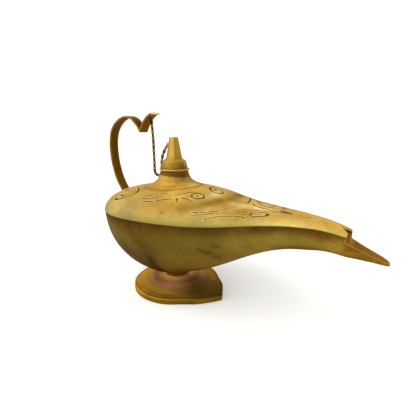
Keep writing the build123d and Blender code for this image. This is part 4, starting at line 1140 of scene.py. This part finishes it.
def build_bowl():
    k = 5
    half = 60
    j1 = 10
    xs = rear_and_front(90, 130, 35, 115.0)
    start_lip = len(xs) - 1
    lip = X_MOUTH + (X_TIP - X_MOUTH) * np.sin(np.linspace(0, math.pi / 2, 51))[1:]
    xs = np.r_[xs, lip]
    ni = len(xs) - 1
    uni = j1 / half

    def half_line(x, inner):
        zt = float(bowl_top(x))
        if inner:
            w = inner_half_width(x)
            if x <= X_MOUTH:
                floor = float(bowl_floor(x, WALL, INSET))
            else:
                floor = float(bowl_floor(x, 0)) + float(smooth([X_MOUTH, 150, 158, X_TIP], [WALL, LIP_WALL, 1.0, 0.8], x))
                floor = min(floor, float(lip_edge(x)) - 0.2)
        else:
            w = float(half_w(x, LIP_OVERHANG if x < 120 else 0.4))
            floor = float(bowl_floor(x, 0, LIP_OVERHANG))
        y, z = section(max(w, 0.0), zt, floor - zt, float(mixed(x, 0.62, 0.545)), float(mixed(x, 0.54, 0.555)))
        top = zt if x <= X_MOUTH + 1e-6 else float(lip_edge(x))
        cy, cz, cs = cut_line(y, z, top, rising=False)
        if x <= X_MOUTH + 1e-6:
            drop = float(np.interp(-LIP_EDGE_Z0, -cz, cs)) if x > 130 else 4.0
            f_lip = min(drop / cs[-1], 0.6)
            f1 = uni + (f_lip - uni) * float(smoothstep((x - 95) / (X_MOUTH - 95)))
            if abs(x - X_MOUTH) < 1e-3:
                f1 = float(np.interp(-LIP_EDGE_Z0, -cz, cs)) / cs[-1]
            rows = np.r_[np.linspace(0, f1, j1 + 1), np.linspace(f1, 1, half - j1 + 1)[1:]] * cs[-1]
        else:
            rows = np.r_[np.zeros(j1), np.linspace(0, 1, half - j1 + 1)] * cs[-1]
        return np.interp(rows, cs, cy), np.interp(rows, cs, cz), rows

    outer = np.zeros((ni + 1, 2 * half + 1, 3))
    below = np.zeros((ni + 1, 2 * half + 1))
    for i, x in enumerate(xs):
        if i == 0:
            outer[0] = (X_BACK + LIP_OVERHANG, 0.0, float(seam_z(X_BACK)))
            continue
        x = max(x, X_BACK + LIP_OVERHANG + 0.003) if x < 0 else min(x, X_TIP - 0.0005)
        y, z, s = half_line(x, False)
        if x > X_TIP - 0.001:
            y = y * 0.0
        outer[i, : half + 1] = np.c_[np.full(half + 1, x), -y, z]
        outer[i, half:] = np.c_[np.full(half + 1, x), y, z][::-1]
        below[i, : half + 1] = s + (0 if x <= X_MOUTH else float(seam_z(X_MOUTH)) - float(lip_edge(X_MOUTH)))
        below[i, half:] = below[i, : half + 1][::-1]
    # the rear columns, scaled so that they close at the bowl's own end
    ci, cj = ni // k, 2 * half // k
    assert ni % k == 0 and start_lip % k == 0, (ni, start_lip)
    inner = np.zeros((ci + 1, cj + 1, 3))
    hc = cj // 2
    for i in range(ci + 1):
        x = outer[i * k, 0, 0]
        if i == 0:
            inner[0] = (X_BACK + INSET, 0.0, float(seam_z(X_BACK)))
            continue
        x = max(x, X_BACK + INSET + 0.02)
        if x > X_MOUTH:
            x = X_MOUTH + (x - X_MOUTH) * (X_TIP - 1.45 - X_MOUTH) / (X_TIP - X_MOUTH)
        y, z, s = half_line(x, True)
        y, z = y[::k], z[::k]
        if i == ci:
            y = y * 0.0
        inner[i, : hc + 1] = np.c_[np.full(hc + 1, x), -y, z]
        inner[i, hc:] = np.c_[np.full(hc + 1, x), y, z][::-1]
    keep = np.ones((ci, cj), bool)
    c1 = j1 // k
    keep[start_lip // k :, :c1] = False
    keep[start_lip // k :, cj - c1 :] = False
    P = outer.reshape(-1, 3)
    # painted highlight along the lip's rim and at the spout's tip
    edge = np.zeros(outer.shape[:2])
    edge[start_lip + 1 :, j1] = edge[start_lip + 1 :, 2 * half - j1] = 0.75
    edge[start_lip, : j1 + 1] = edge[start_lip, 2 * half - j1 :] = 0.5
    edge[-2:, :] = 0.5
    # painted shade on the bowl: under the seam, under the spout, near the foot and in a band down the near side
    marks = [
        ([(4.7, -50.1, 61.1), (9.5, -48.7, 57.0), (12.7, -46.0, 49.6), (12.9, -42.1, 41.6)], 4.2, -0.26, True),
        ([(12.9, -41.1, 39.6), (11.5, -37.3, 34.4), (10.0, -33.0, 29.0), (10.0, -26.0, 24.0)], 3.8, -0.75, True),
        ([(-12.0, -43.0, 46.0), (-2.0, -38.0, 36.0), (4.0, -28.0, 26.0)], 7.0, -0.55, True),
        ([(-44.0, -36.0, 52.0), (-30.0, -38.0, 46.0)], 6.0, -0.25, True),
        ([(22.0, -44.0, 50.0)], 4.0, -0.15, True),
        ([(60.0, -38.7, 72.5), (84.0, -28.0, 76.0), (101.0, -20.5, 77.5)], 3.0, -0.35, True),
        ([(92.0, -24.0, 78.6), (106.0, -18.5, 80.2), (120.0, -13.6, 80.4), (134.0, -9.4, 78.6)], 2.6, -0.55, True),
        ([(104.0, -10.6, 62.6), (110.0, -8.8, 64.0), (118.0, -8.0, 66.0), (126.5, -6.0, 66.4), (134.6, -3.4, 65.6), (143.4, -3.2, 65.5), (151.4, -2.2, 65.1)], 2.6, -0.72, True),
        ([(0.0, 0.0, 16.0)], 10.0, -0.5, False),
    ]
    light_shade_tint = soft_marks(P, marks)
    # olive patina, also lightened as painted highlight
    olive = np.clip(soft_marks(P, [
        ([(-34.0, -45.0, 62.0), (-26.9, -47.8, 60.6), (-14.3, -49.4, 56.8), (-4.0, -48.6, 52.0)], 4.5, 0.9, True),
        ([(30.0, -46.0, 62.0), (55.0, -39.0, 66.0), (84.0, -26.0, 69.0), (104.0, -18.0, 72.0)], 5.0, 0.8, True),
        ([(104.0, -17.0, 72.0), (122.0, -11.8, 72.5), (138.0, -7.6, 70.5)], 3.6, 0.55, True),
        ([(-50.0, -20.0, 50.0)], 8.0, 0.5, True)]), 0, 1)
    rusty = np.clip(soft_marks(P, [
        ([(20.0, -36.0, 36.0), (36.0, -27.0, 36.0), (58.0, -18.0, 42.0)], 4.5, 0.5, True),
        ([(100.0, -12.0, 60.5), (124.0, -8.0, 63.0), (140.0, -5.0, 64.0)], 3.0, 0.15, True),
        ([(20.0, -49.5, 68.0), (34.0, -47.0, 69.0)], 3.5, 0.25, True)]), 0, 1)
    spot = np.clip(soft_marks(P, [
        ([(57.0, -36.2, 58.8), (59.0, -34.8, 57.6)], 1.0, 0.8, True), ([(61.0, -32.8, 56.0), (63.0, -31.6, 56.6)], 1.5, 0.9, True),
        ([(64.4, -27.6, 52.1), (67.0, -26.6, 52.6)], 1.6, 0.7, True), ([(65.3, -24.0, 49.8)], 1.2, 0.6, True), ([(50.8, -39.3, 60.0)], 0.9, 0.7, True),
        ([(66.9, -33.0, 62.7), (69.0, -31.6, 62.0)], 1.2, 0.6, True), ([(54.0, -37.4, 62.0)], 0.8, 0.5, True), ([(44.0, -41.0, 58.0)], 1.0, 0.45, True),
        ([(28.0, -44.6, 55.0)], 0.9, 0.5, True), ([(88.0, -24.0, 66.0)], 1.0, 0.5, True)]), 0, 1)
    # painted light and shade over the bowl, brightest towards the lip
    painted_light_and_shade = light_and_shade_field(P, [
        ((-9.2, -51.7, 70.0), 0.80), ((22.0, -48.8, 68.0), 0.82), ((-13.8, -49.6, 57.8), 0.84), ((37.6, -44.5, 63.7), 0.78), ((59.7, -38.0, 66.8), 1.0),
        ((60.3, -38.7, 72.1), 0.75), ((83.9, -26.2, 68.9), 1.38), ((101.9, -19.6, 74.4), 1.48), ((37.7, -35.2, 43.7), 1.02), ((7.1, -42.9, 41.3), 0.62), ((-12.0, -40.0, 38.0), 0.7),
        ((62.5, -24.8, 48.4), 1.05), ((124.6, -11.8, 73.9), 1.48), ((138.2, -7.7, 72.1), 2.15), ((148.8, -4.9, 69.1), 2.40), ((159.3, -2.9, 65.4), 1.70),
        ((19.2, -33.3, 32.7), 0.95), ((25.3, -25.0, 28.8), 0.60)], 8.0)
    Q = inner.reshape(-1, 3)
    # painted light inside, strongest at the mouth, where the walls stand in shade
    inside_painted_light = 1.02 + 1.9 * np.exp(-(((Q[:, 0] - 142.6) / 2.6) ** 2)) * smoothstep((79.0 - Q[:, 2]) / 4.0)
    verts, faces = shell_mesh(outer, inner, k, keep, skip_walls=("low_i", "high_i"))
    extra_n = inner.reshape(-1, 3).shape[0]
    attrs = {
        "painted_light_and_shade": np.r_[painted_light_and_shade, inside_painted_light],
        "below": np.r_[below.ravel(), np.full(extra_n, 30.0)],
        "light_shade_tint": np.r_[light_shade_tint, np.zeros(extra_n)],
        "olive": np.r_[olive, np.zeros(extra_n)],
        "rusty": np.r_[rusty, np.zeros(extra_n)],
        "spot": np.r_[spot, np.zeros(extra_n)],
        "edge": np.r_[edge.ravel(), np.zeros(extra_n)],
        "inside": np.r_[np.zeros(len(P)), np.ones(extra_n)],
    }
    verts, faces, attrs = drop_loose(verts, faces, attrs)
    return make("lamp_bowl", verts, faces, "lamp", ("bowl",), MAT_BOWL, attrs, merge=0.004, sharp=48)


bowl_ob = build_bowl()


# ------------------------------------------------------------------ foot
def foot_light_and_shade(P):
    """The foot's painted light and shade: brightest on the side of the handle and darkest under the spout."""
    return light_and_shade_field(P, [
        ((-30.0, -23.0, 5.0), 2.4), ((-12.0, -36.0, 5.0), 1.5), ((10.0, -36.0, 5.0), 1.12), ((27.0, -26.0, 5.0), 0.92), ((36.0, -14.0, 5.0), 0.48), ((10.0, -39.0, 0.5), 0.74),
        ((46.0, 0.0, 5.0), 0.32), ((-38.0, 0.0, 5.0), 1.9), ((-20.0, -20.0, 9.0), 0.95), ((-9.0, -9.0, 11.0), 3.2), ((8.0, -12.0, 11.0), 5.4), ((15.0, -19.0, 10.0), 0.70),
        ((24.0, -5.0, 8.0), 0.44), ((12.0, 4.0, 11.0), 1.6), ((0.0, -25.0, 8.0), 0.80)], 7.0)


def outline_offset(pts, d):
    p = np.asarray(pts, float)
    t = np.roll(p, -1, 0) - np.roll(p, 1, 0)
    t /= np.linalg.norm(t, axis=1)[:, None]
    return p + np.c_[-t[:, 1], t[:, 0]] * d


def build_foot_plate():
    R, CX, POINT, T = 38.8, -0.7, 51.3, 4.9
    a0 = math.radians(47)
    arc = [(CX + R * math.cos(a), R * math.sin(a)) for a in np.linspace(a0, 2 * math.pi - a0, 150)]

    def hermite(p, q, mp, mq, n):
        out = []
        for t in np.linspace(0, 1, n + 1)[1:-1]:
            out.append(tuple((2 * t**3 - 3 * t**2 + 1) * np.array(p) + (t**3 - 2 * t**2 + t) * np.array(mp)
                             + (-2 * t**3 + 3 * t**2) * np.array(q) + (t**3 - t**2) * np.array(mq)))
        return out

    s, c = math.sin(a0), math.cos(a0)
    low = (CX + R * c, -R * s)
    mid = (42.0, -14.2)
    tipp = (POINT - 0.15, 0.0)
    d1 = math.dist(low, mid)
    d2 = math.dist(mid, tipp)
    tm = np.array([0.60, 0.80])
    right = hermite(low, mid, np.array([s, c]) * d1, tm * d1, 22) + [mid] + hermite(mid, tipp, tm * d2, np.array([0.5, 0.87]) * d2, 18)
    left = [(x, -y) for x, y in right[::-1]]
    nose = [(POINT - 0.28, -0.35), (POINT - 0.14, -0.15), (POINT - 0.10, 0.0), (POINT - 0.14, 0.15), (POINT - 0.28, 0.35)]
    line = arc + right + nose + left
    # rings from the middle of the underside, round the edge, to the middle of the top: (inset, height, edge wear and
    # painted highlight)
    levels = [(30.0, 0.0, 0), (6.0, 0.0, 0), (1.0, 0.0, 0), (0.45, 0.02, 0), (0.16, 0.14, 0.2), (0.02, 0.4, 0.3), (0.0, 0.8, 0), (0.0, 2.4, 0),
              (0.0, T - 1.0, 0), (0.03, T - 0.62, 0.2), (0.18, T - 0.28, 0.5), (0.45, T - 0.08, 0.4), (0.8, T, 0.1), (1.3, T, 0), (1.9, T, 0), (2.6, T, 0), (3.4, T, 0), (9.0, T, 0), (18.0, T, 0), (30.0, T, 0)]
    n = len(line)
    verts, faces, edge, inward = [], [], [], []
    centre = np.array([0.0, 0.0])
    for inset, z, e in levels:
        if inset >= 3.0:
            f = 1 - inset / 40.0
            pts = centre + (np.array(line) - centre) * f
        else:
            pts = outline_offset(line, inset)
        for x, y in pts:
            verts.append((x, y, z))
            edge.append(e)
            inward.append(inset)
    for i in range(len(levels) - 1):
        for j in range(n):
            l = (j + 1) % n
            faces.append((i * n + j, i * n + l, (i + 1) * n + l, (i + 1) * n + j))
    base = len(verts)
    verts += [(0, 0, 0), (0, 0, T)]
    edge += [0, 0]
    inward += [40, 40]
    last = (len(levels) - 1) * n
    for j in range(n):
        l = (j + 1) % n
        faces.append((base, l, j))
        faces.append((base + 1, last + j, last + l))
    # painted light and shade: the plate's sides darker than its top, lighter towards the point
    return make("foot_teardrop", np.array(verts), faces, "lamp", ("foot_plate",), MAT_FOOT, {"edge": edge, "in": inward, "painted_light_and_shade": foot_light_and_shade(np.array(verts, float)) * np.where(np.array(verts, float)[:, 2] < 4.2, 0.74 + 1.0 * smoothstep((np.array(verts, float)[:, 0] - 34.0) / 8.0), 1.12)}, merge=1e-4, sharp=50)


build_foot_plate()

dome_out = spline([(10.9, 11.4), (12.4, 11.0), (14.5, 10.7), (19.0, 10.15), (23.2, 9.4), (26.6, 7.95), (29.2, 6.15), (30.3, 5.3), (30.7, 4.93)], 0.7)
dome_in = [(28.6, 4.93), (27.2, 6.0), (25.2, 7.2), (22.4, 8.1), (19.0, 8.7), (14.5, 9.2), (9.0, 9.6), (9.0, 11.3)]
dome_profile = [tuple(p) for p in dome_out] + dome_in
# painted light and shade over the dome, from the foot's field
lathe("foot_ring_dome", dome_profile, "lamp", ("foot_dome",), MAT_DOME, n=144,
      attrs={"ring": [p[0] for p in dome_profile],
             "painted_light_and_shade": lambda R, A, Z: foot_light_and_shade(np.stack([R * np.cos(A), R * np.sin(A), Z], -1).reshape(-1, 3)).reshape(R.shape)}, sharp=50)

stem_profile = [(9.0, 11.42)] + [tuple(p) for p in spline([(10.7, 11.42), (10.88, 11.75), (10.75, 12.3), (10.25, 13.2), (10.15, 14.2), (10.35, 15.2), (10.8, 16.1)], 0.35)] + [(9.0, 16.3)]
lathe("stem_ring", stem_profile, "lamp", ("stem_collar",), MAT_STEM, n=96, sharp=60)


# ------------------------------------------------------------------ neck
NECK_LINE = spline([(23.6, 93.6), (22.4, 94.1), (18.5, 95.6), (15.3, 97.9), (13.2, 100.6), (12.4, 102.9)], 0.55)


def seat_on_cover(X, Y, Z, R, A):
    """The flare's edge follows the cover's surface, and blends into the turned neck above."""
    edge = top_z(23.4 * np.cos(A), 23.4 * np.sin(A)) + 0.42 - 93.7
    f = smoothstep((R - 12.6) / (23.5 - 12.6)) ** 1.2
    Z = Z + edge * f
    under = top_z(X, Y) - 0.35
    Z = np.where((R > 20.0) & (Z < under + 0.3) & (Z < 93.0 + edge), np.minimum(Z, under), Z)
    return X, Y, Z


neck_profile = [tuple(p) for p in NECK_LINE] + [(10.25, 102.9), (10.25, 92.0), (21.0, 91.0), (23.3, 91.6), (23.58, 93.2)]
def turned(A, degrees):
    """Angle from a bearing, in degrees, between -180 and 180."""
    return (np.degrees(A) - degrees + 180.0) % 360.0 - 180.0


# painted highlights: narrow light streaks down the flare, with broad patches of painted shade
def neck_highlights_and_shade(R, A, Z):
    high = smoothstep((Z - 95.0) / 3.0) * smoothstep((103.5 - Z) / 3.0)
    low = smoothstep((Z - 92.8) / 1.5) * smoothstep((101.5 - Z) / 3.0)
    out = 0.50 * np.exp(-((turned(A, 3) / 4.0) ** 2)) * low + 0.36 * np.exp(-((turned(A, -9) / 3.0) ** 2)) * low
    out += 0.42 * np.exp(-((turned(A, 16) / 5.0) ** 2)) * low - 0.25 * np.exp(-((turned(A, 36) / 14.0) ** 2))
    out += 0.45 * np.exp(-((turned(A, 176) / 5.0) ** 2)) * high - 0.25 * np.exp(-((turned(A, 150) / 20.0) ** 2))
    return out


# painted light and shade on the flare: lighter low down near the bearing of -30 degrees, darker higher up to either
# side
def neck_light_and_shade(R, A, Z):
    return (1.0 + 0.50 * smoothstep((98.5 - Z) / 3.0) * np.exp(-((turned(A, -30) / 50.0) ** 2))
            - 0.30 * np.exp(-((turned(A, -70) / 18.0) ** 2)) * smoothstep((Z - 95.5) / 3.0)
            - 0.26 * np.exp(-((turned(A, -12) / 45.0) ** 2)) * smoothstep((Z - 93.5) / 3.0))


def neck_flange_shadow_and_tarnish(R, A, Z):
    """The painted shadow of the cap's flange, with the band's dark tarnish, runs down over the top of the neck,
    furthest on the side of the spout.
    """
    reach = 0.2 + 2.6 * smoothstep((turned(A, 45) + 180.0) / 180.0) * (turned(A, 45) < 0) + 2.8 * smoothstep((180.0 - turned(A, 45)) / 180.0) * (turned(A, 45) >= 0)
    return smoothstep((Z - (102.9 - reach)) / 0.7 + 0.5)


lathe("neck_flare", neck_profile, "lamp", ("neck",), MAT_NECK, n=144, shape=seat_on_cover, attrs={"light_shade_tint": neck_highlights_and_shade, "painted_light_and_shade": neck_light_and_shade, "flange_shadow_and_tarnish": neck_flange_shadow_and_tarnish}, sharp=50)

collar_profile = rounded([(10.23, 102.92), (12.35, 102.92), (11.95, 103.7), (11.8, 105.28), (10.23, 105.28)], [0, 0.25, 0.5, 0.3, 0.1])
# the band under the cap's flange, dark brown as painted shadow of the flange and as tarnish
lathe("neck_band", collar_profile, "lamp", ("neck_collar",), MAT_BAND, n=112)


# ------------------------------------------------------------------ cap
flange_profile = rounded([(2.05, 106.0), (12.1, 106.0), (12.85, 106.3), (13.1, 106.75), (12.75, 107.25), (11.8, 107.58), (2.05, 107.58)], [0, 0.3, 0.25, 0.22, 0.35, 0.2, 0])
# edge wear with painted highlight on the rim; painted shade on the flange's underside and next to the collar
lathe("cap_rim", flange_profile, "cap", ("cap_flange",), MAT_CAP, n=128,
      attrs={"edge": [1.0 if p[0] > 12.5 else 0.0 for p in flange_profile], "light_shade_tint": [-0.35 if p[0] < 12.5 else 0.0 for p in flange_profile]})

body_profile = rounded(
    [(11.25, 107.62), (11.18, 108.3), (10.05, 113.75), (7.05, 115.7), (6.85, 116.18), (2.05, 116.18), (2.05, 114.6), (6.4, 114.3), (8.65, 113.0), (10.0, 107.62)],
    [0.1, 0.4, 0.45, 0.4, 0.15, 0, 0, 0.3, 0.4, 0.1])
# painted shade on the collar: darker on its lower part, most near the bearing of -2 degrees, and on the shoulder near 0
# degrees
lathe("cap_collar", body_profile, "cap", ("cap_body",), MAT_CAP, n=128,
      attrs={"edge": [0.6 if abs(p[1] - 113.75) < 0.35 and p[0] > 9.0 else 0.0 for p in body_profile],
             "light_shade_tint": lambda R, A, Z: (-0.52 - 0.46 * np.exp(-((turned(A, -2) / 42.0) ** 2))) * (Z < 113.6) - 0.25 * np.exp(-((turned(A, 0) / 40.0) ** 2)) * (Z >= 113.6)})


def build_finial():
    z0, z1, r0, r1 = 116.2, 133.3, 6.75, 3.65
    # heights with the circumradius at each, and how much edge wear and painted highlight the edge gets there
    prof = [(r0 - 0.35, z0, 0.2), (r0 - 0.1, z0 + 0.06, 0.3), (r0, z0 + 0.3, 0.2)]
    for f in (0.05, 0.12, 0.25, 0.4, 0.55, 0.7, 0.82, 0.92, 0.97):
        prof.append((r0 + (r1 - r0) * f, z0 + (z1 - z0) * f, 0.0))
    prof += [(r1 + 0.02, z1 - 0.28, 0.15), (r1 - 0.09, z1 - 0.09, 0.35), (r1 - 0.32, z1, 0.3), (r1 - 0.7, z1, 0.1), (1.2, z1, 0.0)]
    n_arc = 3
    verts, faces, edge, light_shade_tint = [], [], [], []
    ring_n = 8 * (n_arc + 3)
    # painted light and shade of each flat, from the one after the bearing 0 degrees round to the last
    tone = [-0.55, -0.10, 0.10, -0.20, 0.05, -0.05, 0.22, -0.12]
    for r, z, e in prof:
        cr = min(0.42, r * 0.12)
        for c in range(8):
            a = math.radians(45 * c)
            corner = np.array([math.cos(a), math.sin(a)]) * r
            m = -np.array([math.cos(a), math.sin(a)])
            half = math.radians(67.5)
            centre = corner + m * cr / math.sin(half)
            u = np.array([math.cos(a - math.pi / 2 - math.radians(22.5)), math.sin(a - math.pi / 2 - math.radians(22.5))])
            v = np.array([math.cos(a + math.pi / 2 + math.radians(22.5)), math.sin(a + math.pi / 2 + math.radians(22.5))])
            d = cr / math.tan(half)
            pts = [corner + u * (d + 0.25 * r * 0.2)]
            for k in range(n_arc + 1):
                q = a - math.radians(22.5) + math.radians(45) * k / n_arc
                pts.append(centre + cr * np.array([math.cos(q), math.sin(q)]))
            pts.append(corner + v * (d + 0.25 * r * 0.2))
            for k, p in enumerate(pts):
                verts.append((p[0], p[1], z))
                edge.append(max(e, 0.45 if 0 < k < len(pts) - 1 else 0.0))
                light_shade_tint.append(tone[c] if k > len(pts) // 2 else tone[c - 1])
    for i in range(len(prof) - 1):
        for j in range(ring_n):
            l = (j + 1) % ring_n
            faces.append((i * ring_n + j, i * ring_n + l, (i + 1) * ring_n + l, (i + 1) * ring_n + j))
    faces.append(tuple(range(ring_n))[::-1])
    faces.append(tuple((len(prof) - 1) * ring_n + j for j in range(ring_n)))
    return make("cap_spire", np.array(verts), faces, "cap", ("cap_finial",), MAT_CAP, {"edge": edge, "light_shade_tint": light_shade_tint}, merge=1e-4, sharp=60)


build_finial()


# ------------------------------------------------------------------ handle
STRAP_W, STRAP_T = 9.7, 1.2
STRAP_BACK = [(-65.3, 75.0), (-67.6, 78.2), (-71.2, 82.6), (-77.4, 91.2), (-81.2, 100.2), (-83.7, 109.8), (-84.6, 118.6), (-84.3, 126.2),
              (-82.9, 132.8), (-80.0, 139.3), (-74.3, 145.0), (-66.2, 149.4), (-56.9, 151.2), (-49.4, 149.1), (-45.3, 146.0), (-41.7, 142.9)]
STRAP_CREASE = (-38.0, 138.2)
STRAP_FRONT = [(-34.6, 143.6), (-31.6, 147.0), (-28.4, 149.7), (-24.6, 151.8), (-20.8, 153.0)]


def build_strap():
    a = spline(STRAP_BACK + [STRAP_CREASE], 1.1)
    b = spline([STRAP_CREASE] + STRAP_FRONT, 0.9)
    pts = [tuple(p) for p in a[:-1]] + [STRAP_CREASE] + [tuple(p) for p in b[1:]]
    crease = len(a) - 1
    pts = np.array(pts)
    n = len(pts)
    t = np.zeros((n, 2))
    t[1:-1] = pts[2:] - pts[:-2]
    t[0], t[-1] = pts[1] - pts[0], pts[-1] - pts[-2]
    t /= np.linalg.norm(t, axis=1)[:, None]
    nrm = np.c_[-t[:, 1], t[:, 0]]          # outer side of the loop
    t1 = (pts[crease] - pts[crease - 1]) / np.linalg.norm(pts[crease] - pts[crease - 1])
    t2 = (pts[crease + 1] - pts[crease]) / np.linalg.norm(pts[crease + 1] - pts[crease])
    m = t2 - t1
    m /= np.linalg.norm(m)                  # up, out of the dip
    half = math.acos(float(np.clip(-t1 @ t2, -1, 1))) / 2
    # cross-section: a flat bar with rounded edges
    w, h = STRAP_W / 2, STRAP_T / 2
    sec = rounded([(-w, -h), (w, -h), (w, h), (-w, h)], [0.34] * 4, steps=4, support=0.8)
    mids = []
    for i, p in enumerate(sec):
        q = sec[(i + 1) % len(sec)]
        mids.append((*p, 0.0 if abs(p[0]) < w - 0.7 else 1.0))
        if abs(p[0] - q[0]) > 3:
            for f in (0.12, 0.25, 0.4, 0.5, 0.6, 0.75, 0.88):
                mids.append((p[0] + (q[0] - p[0]) * f, p[1] + (q[1] - p[1]) * f, 0.0))
    sec = mids
    verts, faces, edge, tip, gold, shade = [], [], [], [], [], []
    k = len(sec)
    for i in range(n):
        high = float(smoothstep((i - int(np.argmax(pts[:crease, 1]))) / 4.0)) if i < crease else 0.0
        near_end = max(0.0, 1.0 - (n - 1 - i) / 3.0)
        for y, d, e in sec:
            if i == crease:
                p = pts[i] + m * d / math.sin(half)
                e = max(e, 0.45 if d < 0 else 0.2)
            else:
                p = pts[i] + nrm[i] * d * (1.0 + (0.7 * near_end if d < 0 else 0.0))
            verts.append((p[0], y, p[1]))
            edge.append(max(e, 0.9 * near_end))
            # painted highlight on the free end
            tip.append(0.9 if i == n - 1 else 0.0)
            gold.append(0.75 if i > crease and d < 0 else 0.0)
            # painted light and shade: lighter at the top of the loop, darker down towards the dip, and the front leg's
            # inside lighter towards the end
            if i < crease:
                shade.append(1.0 + (0.85 - 1.3 * float(smoothstep((pts[i][0] + 52.0) / 10.0))) * high * (e < 0.5))
            else:
                shade.append(1.0 + 0.15 * float(smoothstep((pts[i][0] + 33.0) / 5.0)) * (d < 0))
    for i in range(n - 1):
        for j in range(k):
            l = (j + 1) % k
            faces.append((i * k + j, (i + 1) * k + j, (i + 1) * k + l, i * k + l))
    # the rounded free end
    end_t = t[-1]
    base = len(verts)
    for y, d, e in sec:
        p = pts[-1] + end_t * 0.22 + nrm[-1] * d * (0.78 if d > 0 else 1.35)
        verts.append((p[0], y * 0.972, p[1]))
        edge.append(1.0)
        # painted highlight on the rounded free end
        tip.append(1.0)
        gold.append(0.0)
        shade.append(1.0)
    for j in range(k):
        l = (j + 1) % k
        faces.append(((n - 1) * k + j, base + j, base + l, (n - 1) * k + l))
    faces.append(tuple(base + j for j in range(k)))
    faces.append(tuple(range(k))[::-1])
    return make("handle_loop", np.array(verts), faces, "lamp", ("handle_strap",), MAT_STRAP, {"edge": edge, "tip": tip, "gold": gold, "painted_light_and_shade": shade}, merge=1e-4, sharp=42)


build_strap()


# ------------------------------------------------------------------ floor, light
def area(name, at, look, size, power, colour=(1, 1, 1), size_y=None):
    d = bpy.data.lights.new(name, "AREA")
    d.energy, d.size, d.color = power, size, colour
    if size_y:
        d.shape, d.size_y = "RECTANGLE", size_y
    o = bpy.data.objects.new(name, d)
    bpy.context.scene.collection.objects.link(o)
    o.location = at
    o.rotation_euler = (Vector(look) - Vector(at)).to_track_quat("-Z", "Y").to_euler()
    return o


me = bpy.data.meshes.new("floor")
bm = bmesh.new()
bmesh.ops.create_grid(bm, x_segments=8, y_segments=8, size=30.0)
bm.to_mesh(me)
bm.free()
floor = bpy.data.objects.new("floor", me)
bpy.context.scene.collection.objects.link(floor)
floor.location.z = -0.0002
fm = bpy.data.materials.new("pale_floor")
fm.use_nodes = True
fb = fm.node_tree.nodes["Principled BSDF"]
fb.inputs["Base Color"].default_value = (0.74, 0.74, 0.74, 1)
fb.inputs["Roughness"].default_value = 0.9
fb.inputs["Specular IOR Level"].default_value = 0.1
fb.inputs["Emission Color"].default_value = (0.90, 0.94, 1.0, 1)
fb.inputs["Emission Strength"].default_value = 0.30
me.materials.append(fm)

CENTRE = Vector((0.035, 0.0, 0.075))
world = bpy.data.worlds.new("studio")
bpy.context.scene.world = world
world.use_nodes = True
wt = world.node_tree
wb = wt.nodes["Background"]
tone = wt.nodes.new("ShaderNodeMix")
tone.data_type = "RGBA"
tone.inputs[6].default_value = (1.0, 0.965, 0.87, 1)
tone.inputs[7].default_value = (1.0, 1.0, 1.0, 1)
wt.links.new(tone.outputs[2], wb.inputs["Color"])
to_light = (-RIGHT * 0.80 - AWAY * 0.12 + Vector((0, 0, 0.58))).normalized()
tc = wt.nodes.new("ShaderNodeTexCoord")
dot = wt.nodes.new("ShaderNodeVectorMath")
dot.operation = "DOT_PRODUCT"
wt.links.new(tc.outputs["Generated"], dot.inputs[0])
dot.inputs[1].default_value = to_light
grade = wt.nodes.new("ShaderNodeMapRange")
wt.links.new(dot.outputs["Value"], grade.inputs["Value"])
for key, val in (("From Min", -0.75), ("From Max", 0.85), ("To Min", 0.42), ("To Max", 1.25)):
    grade.inputs[key].default_value = val
seen = wt.nodes.new("ShaderNodeLightPath")
pick = wt.nodes.new("ShaderNodeMix")
pick.data_type = "FLOAT"
wt.links.new(seen.outputs["Is Camera Ray"], pick.inputs[0])
wt.links.new(seen.outputs["Is Camera Ray"], tone.inputs[0])
wt.links.new(grade.outputs[0], pick.inputs[2])
pick.inputs[3].default_value = 1.05
wt.links.new(pick.outputs[0], wb.inputs["Strength"])

sun_data = bpy.data.lights.new("softbox", "SUN")
sun_data.energy, sun_data.angle, sun_data.color = 1.5, math.radians(65), (1.0, 0.98, 0.95)
sun = bpy.data.objects.new("softbox", sun_data)
bpy.context.scene.collection.objects.link(sun)
sun.rotation_euler = (RIGHT * 0.62 + AWAY * 0.30 - Vector((0, 0, 0.75))).to_track_quat("-Z", "Y").to_euler()
back_at = CENTRE + RIGHT * 0.75 + AWAY * 0.45 + Vector((0, 0, 0.30))
area("rim", back_at, CENTRE, 0.10, 1.2, size_y=0.5)

bpy.context.scene.view_settings.view_transform = "Standard"
bpy.context.scene.view_settings.look = "None"
